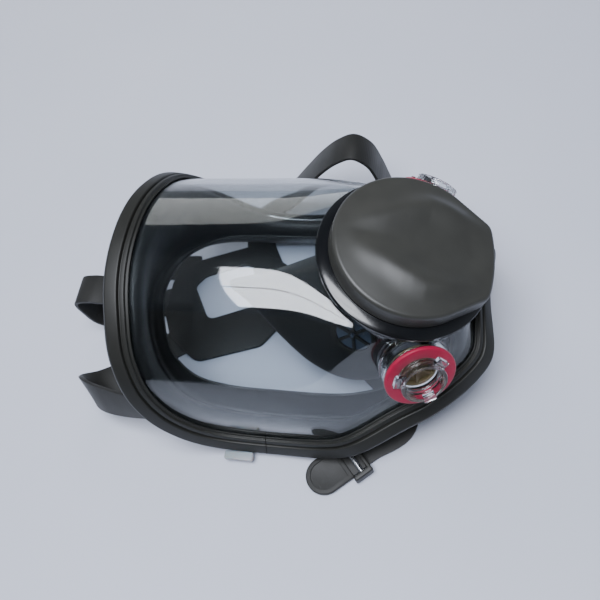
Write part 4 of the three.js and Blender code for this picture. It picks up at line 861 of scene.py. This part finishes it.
def open_curve(points, count):
    """Evenly spaced points on a smooth open curve through the points."""
    points = np.array(points, float)
    ends = np.vstack([2 * points[0] - points[1], points, 2 * points[-1] - points[-2]])
    dense = []
    for i in range(len(points) - 1):
        p = ends[i:i + 4]
        t = np.concatenate([[0], np.cumsum([math.sqrt(np.linalg.norm(p[k + 1] - p[k])) for k in range(3)])])
        for u in np.linspace(t[1], t[2], 24, endpoint=False):
            a = [p[k] + (p[k + 1] - p[k]) * (u - t[k]) / (t[k + 1] - t[k]) for k in range(3)]
            b = [a[k] + (a[k + 1] - a[k]) * (u - t[k]) / (t[k + 2] - t[k]) for k in range(2)]
            dense.append(b[0] + (b[1] - b[0]) * (u - t[1]) / (t[2] - t[1]))
    dense = np.vstack([dense, points[-1:]])
    reach = np.concatenate([[0], np.cumsum(np.linalg.norm(np.diff(dense, axis=0), axis=1))])
    steps = np.linspace(0, reach[-1], count)
    return np.stack([np.interp(steps, reach, dense[:, k]) for k in range(3)], axis=1)


def strap(name, points, turns, count=90):
    """A flat strap along a curve; turns says which way its width lies at given shares of the length."""
    path = open_curve(points, count)
    path[:, 2] = np.maximum(path[:, 2], strap_thickness / 2)
    runs = unit_length(np.gradient(path, axis=0))
    rings = []
    for i, (point, run) in enumerate(zip(path, runs)):
        across = np.array([np.interp(i / (count - 1), [share for share, _ in turns], [way[k] for _, way in turns])
                           for k in range(3)])
        across = unit_length(across - run * np.dot(across, run))
        face = np.cross(run, across)
        ring_points = np.array([point + across * a + face * f for a, f in strap_profile])
        rings.append(ring_points + (0, 0, max(0.0, -ring_points[:, 2].min())))
    return skinned(name, rings)


def turning(start, end):
    """A turn from one direction to another that comes late in the strap's length."""
    return [(share, np.array(start) * (1 - share ** 2) + np.array(end) * share ** 2) for share in np.linspace(0, 1, 9)]


def table_point(x, y):
    return (x, y, strap_thickness / 2)


def edge_frame(station):
    return edge[station], edge_run[station], edge_out[station], edge_up[station]


strap_depth = -9.4 - gap - strap_thickness / 2
temple_station = int(np.argmin(np.abs(edge[:120, 2] - 48)))


def anchor_end(station):
    return [edge[station] + edge_out[station] * out + edge_up[station] * strap_depth for out in (16, 9)]


forehead = [
    table_point(16, 108), table_point(8, 130), (2, 148, 3), (0, 157, 11), (0, 160.6, 25), (0, 159.6, 39),
    (0, 150, 42), (0, 136, 42), (0, 123, 54), (0, 119, 76), *anchor_end(0)]


def temple(side, start, station):
    return [*start, (side * 43, 133, 2), (side * 51, 143, 6), (side * 56, 147, 13), (side * 61, 143, 21),
            (side * 68, 130, 27), *anchor_end(station)]


buckles = {
    "right": (np.array((-83.5, -24.5, 0)), unit_length(np.array((-0.66, 0.75, 0)))),
    "left": (np.array((89, -46, 0)), unit_length(np.array((0.78, 0.62, 0)))),
}


def along_cheek(side, distance):
    place, run = buckles[side]
    return tuple(place + run * distance + (0, 0, strap_thickness / 2))


right_cheek = [
    table_point(10, 34), table_point(0, 6), table_point(-20, -26), table_point(-45, -50), table_point(-62, -51),
    along_cheek("right", -12), along_cheek("right", 2), along_cheek("right", 8)]
left_cheek = [
    table_point(40, 44), table_point(62, 55), table_point(80, 57), (93, 52, 3), (98.5, 43, 9), (98, 34, 17),
    (97, 21, 34), (96.5, 7, 51), (96, -4, 61), (96, -14, 65), (96, -23, 58), (96.5, -28.5, 42),
    (97.5, -32, 25), (98, -35, 12), (97, -38.5, 4), along_cheek("left", 6), along_cheek("left", -3),
    along_cheek("left", -20)]


def flat_moulding(name, outlines, low, high, edge_round_mm):
    """A flat moulded sheet from closed outlines, the first its edge and the rest holes."""
    data = bpy.data.curves.new(name, "CURVE")
    data.dimensions = "2D"
    data.fill_mode = "BOTH"
    for outline in outlines:
        spline = data.splines.new("POLY")
        spline.points.add(len(outline) - 1)
        for point, (x, y) in zip(spline.points, outline):
            point.co = (x * 0.001, y * 0.001, 0, 1)
        spline.use_cyclic_u = True
    data.extrude = (high - low) / 2 * 0.001 - edge_round_mm * 0.001
    data.bevel_depth = edge_round_mm * 0.001
    data.bevel_resolution = 2
    data.offset = -edge_round_mm * 0.001
    piece = bpy.data.objects.new(name, data)
    bpy.context.collection.objects.link(piece)
    choose(piece)
    bpy.ops.object.convert(target="MESH")
    piece = bpy.context.object
    piece.data.transform(Matrix.Translation((0, 0, (low + high) / 2 * 0.001)))
    return piece


pad_edge = rounded([(-14, 106, 8), (-30, 84, 10), (-16, 42, 8), (4, 28, 8), (44, 30, 8), (62, 60, 10), (45, 106, 8),
                    (30, 114, 6), (4, 114, 6)], 6)
pad_hole = rounded([(27, 97, 5), (1, 82, 7), (16, 45, 7), (47, 60, 7), (35, 91, 6)], 6)
harness = flat_moulding("head_harness_moulding", [pad_edge, pad_hole], 0.02, 2.6, 0.6)
harness.data.transform(Matrix.Translation(datum))
face_out(harness)
straps = [
    strap("forehead_strap", forehead, [(0, (-1, 0, 0)), (1, (-1, 0, 0))]),
    strap("temple_right", temple(-1, [table_point(-14, 96), table_point(-30, 118)], temple_station),
          turning((-0.75, -0.6, 0), edge_run[temple_station])),
    strap("temple_left", temple(1, [table_point(42, 98), table_point(42, 118)], edge_count - temple_station),
          turning((-0.8, 0.4, 0), edge_run[edge_count - temple_station])),
    strap("cheek_right", right_cheek, turning((0.9, -0.4, 0), (0.75, 0.66, 0))),
    strap("cheek_left", left_cheek, [(0, (-0.4, 0.9, 0)), (0.14, (-0.4, 0.9, 0)), (0.3, (1, 0, 0)),
                                     (0.84, (1, 0, 0)), (0.93, (0.62, -0.78, 0)), (1, (0.62, -0.78, 0))], 220),
]
for piece in straps:
    combine(harness, piece, "UNION")


def cheek_place(side):
    place, run = buckles[side]
    run = Vector(run)
    up = Vector((0, 0, 1))
    basis = Matrix((run.cross(up), run, up)).transposed().to_4x4()
    basis.translation = datum + Vector(place) * 0.001
    return basis


def tongue_outline(inset):
    half, start, tip = 11 - inset, 5 + inset, 30 - 11
    arc = [(half * math.cos(a), tip + half * math.sin(a)) for a in np.linspace(0, math.pi, 28)]
    return [(-half, start), (half, start)] + arc


tongue = flat_moulding("tongue", [tongue_outline(0)], 0.03, 3.2, 0.7)
well = flat_moulding("well", [tongue_outline(2.6)], 2.2, 5.0, 0.3)
for piece in (tongue, well):
    piece.data.transform(cheek_place("right"))
    face_out(piece)
combine(tongue, well, "DIFFERENCE")
combine(harness, tongue, "UNION")
face_out(harness)
smooth(harness)
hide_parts("head_harness", "strap_forehead", "strap_temple_left", "strap_temple_right",
            "strap_cheek_left", "strap_cheek_right")

# Compression-moulded natural rubber: dark grey-green, dull, with pale bloom in patches of 8 mm. The
# mould's cross-hatch of 0.9 mm pitch shows on every face as a fine texture.
rubber, tree, shader = new_finish("rubber_strap_moulded", **{"IOR": 1.52, "Sheen_Weight": 0.08})
where = add_node(tree, "ShaderNodeTexCoord", {})
bloom = add_node(tree, "ShaderNodeTexNoise", {"Scale": 1 / 0.008, "Detail": 6.0}, {"Vector": where.outputs["Object"]})
shade = add_node(tree, "ShaderNodeMix", {"data_type": "RGBA", 6: linear("#10100e"), 7: linear("#191916")},
                 {0: bloom.outputs["Fac"]})
tree.links.new(shade.outputs[2], shader.inputs["Base Color"])
soft = add_node(tree, "ShaderNodeMapRange", {"To Min": 0.5, "To Max": 0.68}, {"Value": bloom.outputs["Fac"]})
tree.links.new(soft.outputs[0], shader.inputs["Roughness"])
hatch = add_node(tree, "ShaderNodeTexWave", {"wave_type": "BANDS", "bands_direction": "Y", "Scale": 0.31 / 0.0009},
                 {"Vector": where.outputs["Object"]})
relief = add_node(tree, "ShaderNodeBump", {"Strength": 0.15, "Distance": 0.0002}, {"Height": hatch.outputs["Fac"]})
tree.links.new(relief.outputs[0], shader.inputs["Normal"])
dress(harness, rubber)

# ---- Buckles, clips and screws ----
# Each cheek strap runs under a zinc-bright steel bar that turns in a nylon buckle. The upper straps
# end at nylon clips behind the frame, whose two halves are drawn together by small steel screws.

# Steel, zinc plated: bright with faint drawing lines round the bar.
zinc, tree, shader = new_finish("steel_zinc_plated", **{"Base_Color": linear("#c9cbce"), "Metallic": 1.0})
where = add_node(tree, "ShaderNodeTexCoord", {})
draw = add_node(tree, "ShaderNodeTexNoise", {"Scale": 1 / 0.0015, "Detail": 4.0}, {"Vector": where.outputs["Object"]})
polish = add_node(tree, "ShaderNodeMapRange", {"To Min": 0.16, "To Max": 0.34}, {"Value": draw.outputs["Fac"]})
tree.links.new(polish.outputs[0], shader.inputs["Roughness"])

bar_radius = 1.6
bar_height = strap_thickness + 0.5 + bar_radius
for side in ("right", "left"):
    place = cheek_place(side)
    buckle = None
    parts = [((3.2, 12, 7.4), (edge_x, 0, 3.9)) for edge_x in (-13.4, 13.4)] + [((30, 2.4, 1.8), (0, -4.8, 6.7))]
    for size, middle in parts:
        bpy.ops.mesh.primitive_cube_add(size=1)
        bar = bpy.context.object
        bar.data.transform(Matrix.Diagonal((size[0] * 0.001, size[1] * 0.001, size[2] * 0.001, 1)))
        round_edges(bar, 0.8)
        bar.data.transform(place @ Matrix.Translation(Vector(middle) * 0.001))
        if buckle is None:
            buckle = bar
            buckle.name = f"buckle_{side}_body"
        else:
            combine(buckle, bar, "UNION")
    across = place @ Matrix.Translation((0, 0, bar_height * 0.001)) @ Matrix.Rotation(math.pi / 2, 4, "Y")
    hole = turned("hole", [(0, -13.8), (1.9, -13.8), (1.9, 13.8), (0, 13.8)], across, 48)
    combine(buckle, hole, "DIFFERENCE")
    face_out(buckle)
    smooth(buckle)
    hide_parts(f"buckle_frame_{side}")
    dress(buckle, nylon)
    roller = turned(f"buckle_{side}_roller", [
        (0, -13.5), (1.2, -13.5), (1.6, -13.1), (1.6, -10.4), (1.45, -10.2), (1.45, 10.2), (1.6, 10.4),
        (1.6, 13.1), (1.2, 13.5), (0, 13.5)], across, 48)
    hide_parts(f"buckle_bar_{side}")
    dress(roller, zinc, f"buckle_roller_{side}")

for name in ("clamp_screw_left", "clamp_screw_right", "clamp_nut_left", "clamp_nut_right"):
    frame["nodes"][name].data.materials.clear()
    frame["nodes"][name].data.materials.append(zinc)
for name in ("strap_clip_forehead", "strap_clip_temple_left", "strap_clip_temple_right"):
    clip_low_corner, clip_high_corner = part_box(name)
    node = frame["nodes"][name]
    choose(node)
    clip_piece = node.copy()
    clip_piece.data = node.data.copy()
    clip_piece.name = name + "_moulding"
    clip_piece.parent = None
    bpy.context.collection.objects.link(clip_piece)
    face_out(clip_piece)
    round_edges(clip_piece, 0.8)
    smooth(clip_piece)
    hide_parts(name)
    dress(clip_piece, nylon)

# ---- Frame tab ----
# A small tab of natural, milky polypropylene stands out from under the frame's edge on the right.

# Polypropylene, unpigmented: milky white and half see-through.
natural_pp, tree, shader = new_finish("polypropylene_natural", **{
    "Base_Color": linear("#a2a8ad"), "IOR": 1.49, "Subsurface_Weight": 0.4, "Transmission_Weight": 0.25})
where = add_node(tree, "ShaderNodeTexCoord", {})
milk = add_node(tree, "ShaderNodeTexNoise", {"Scale": 1 / 0.004, "Detail": 3.0}, {"Vector": where.outputs["Object"]})
soft = add_node(tree, "ShaderNodeMapRange", {"To Min": 0.25, "To Max": 0.4}, {"Value": milk.outputs["Fac"]})
tree.links.new(soft.outputs[0], shader.inputs["Roughness"])
node = frame["nodes"]["frame_tab_right"]
tab = node.copy()
tab.data = node.data.copy()
tab.name = "frame_tab_moulding"
tab.parent = None
bpy.context.collection.objects.link(tab)
face_out(tab)
round_edges(tab, 1.0)
smooth(tab)
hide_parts("frame_tab_right")
dress(tab, natural_pp)
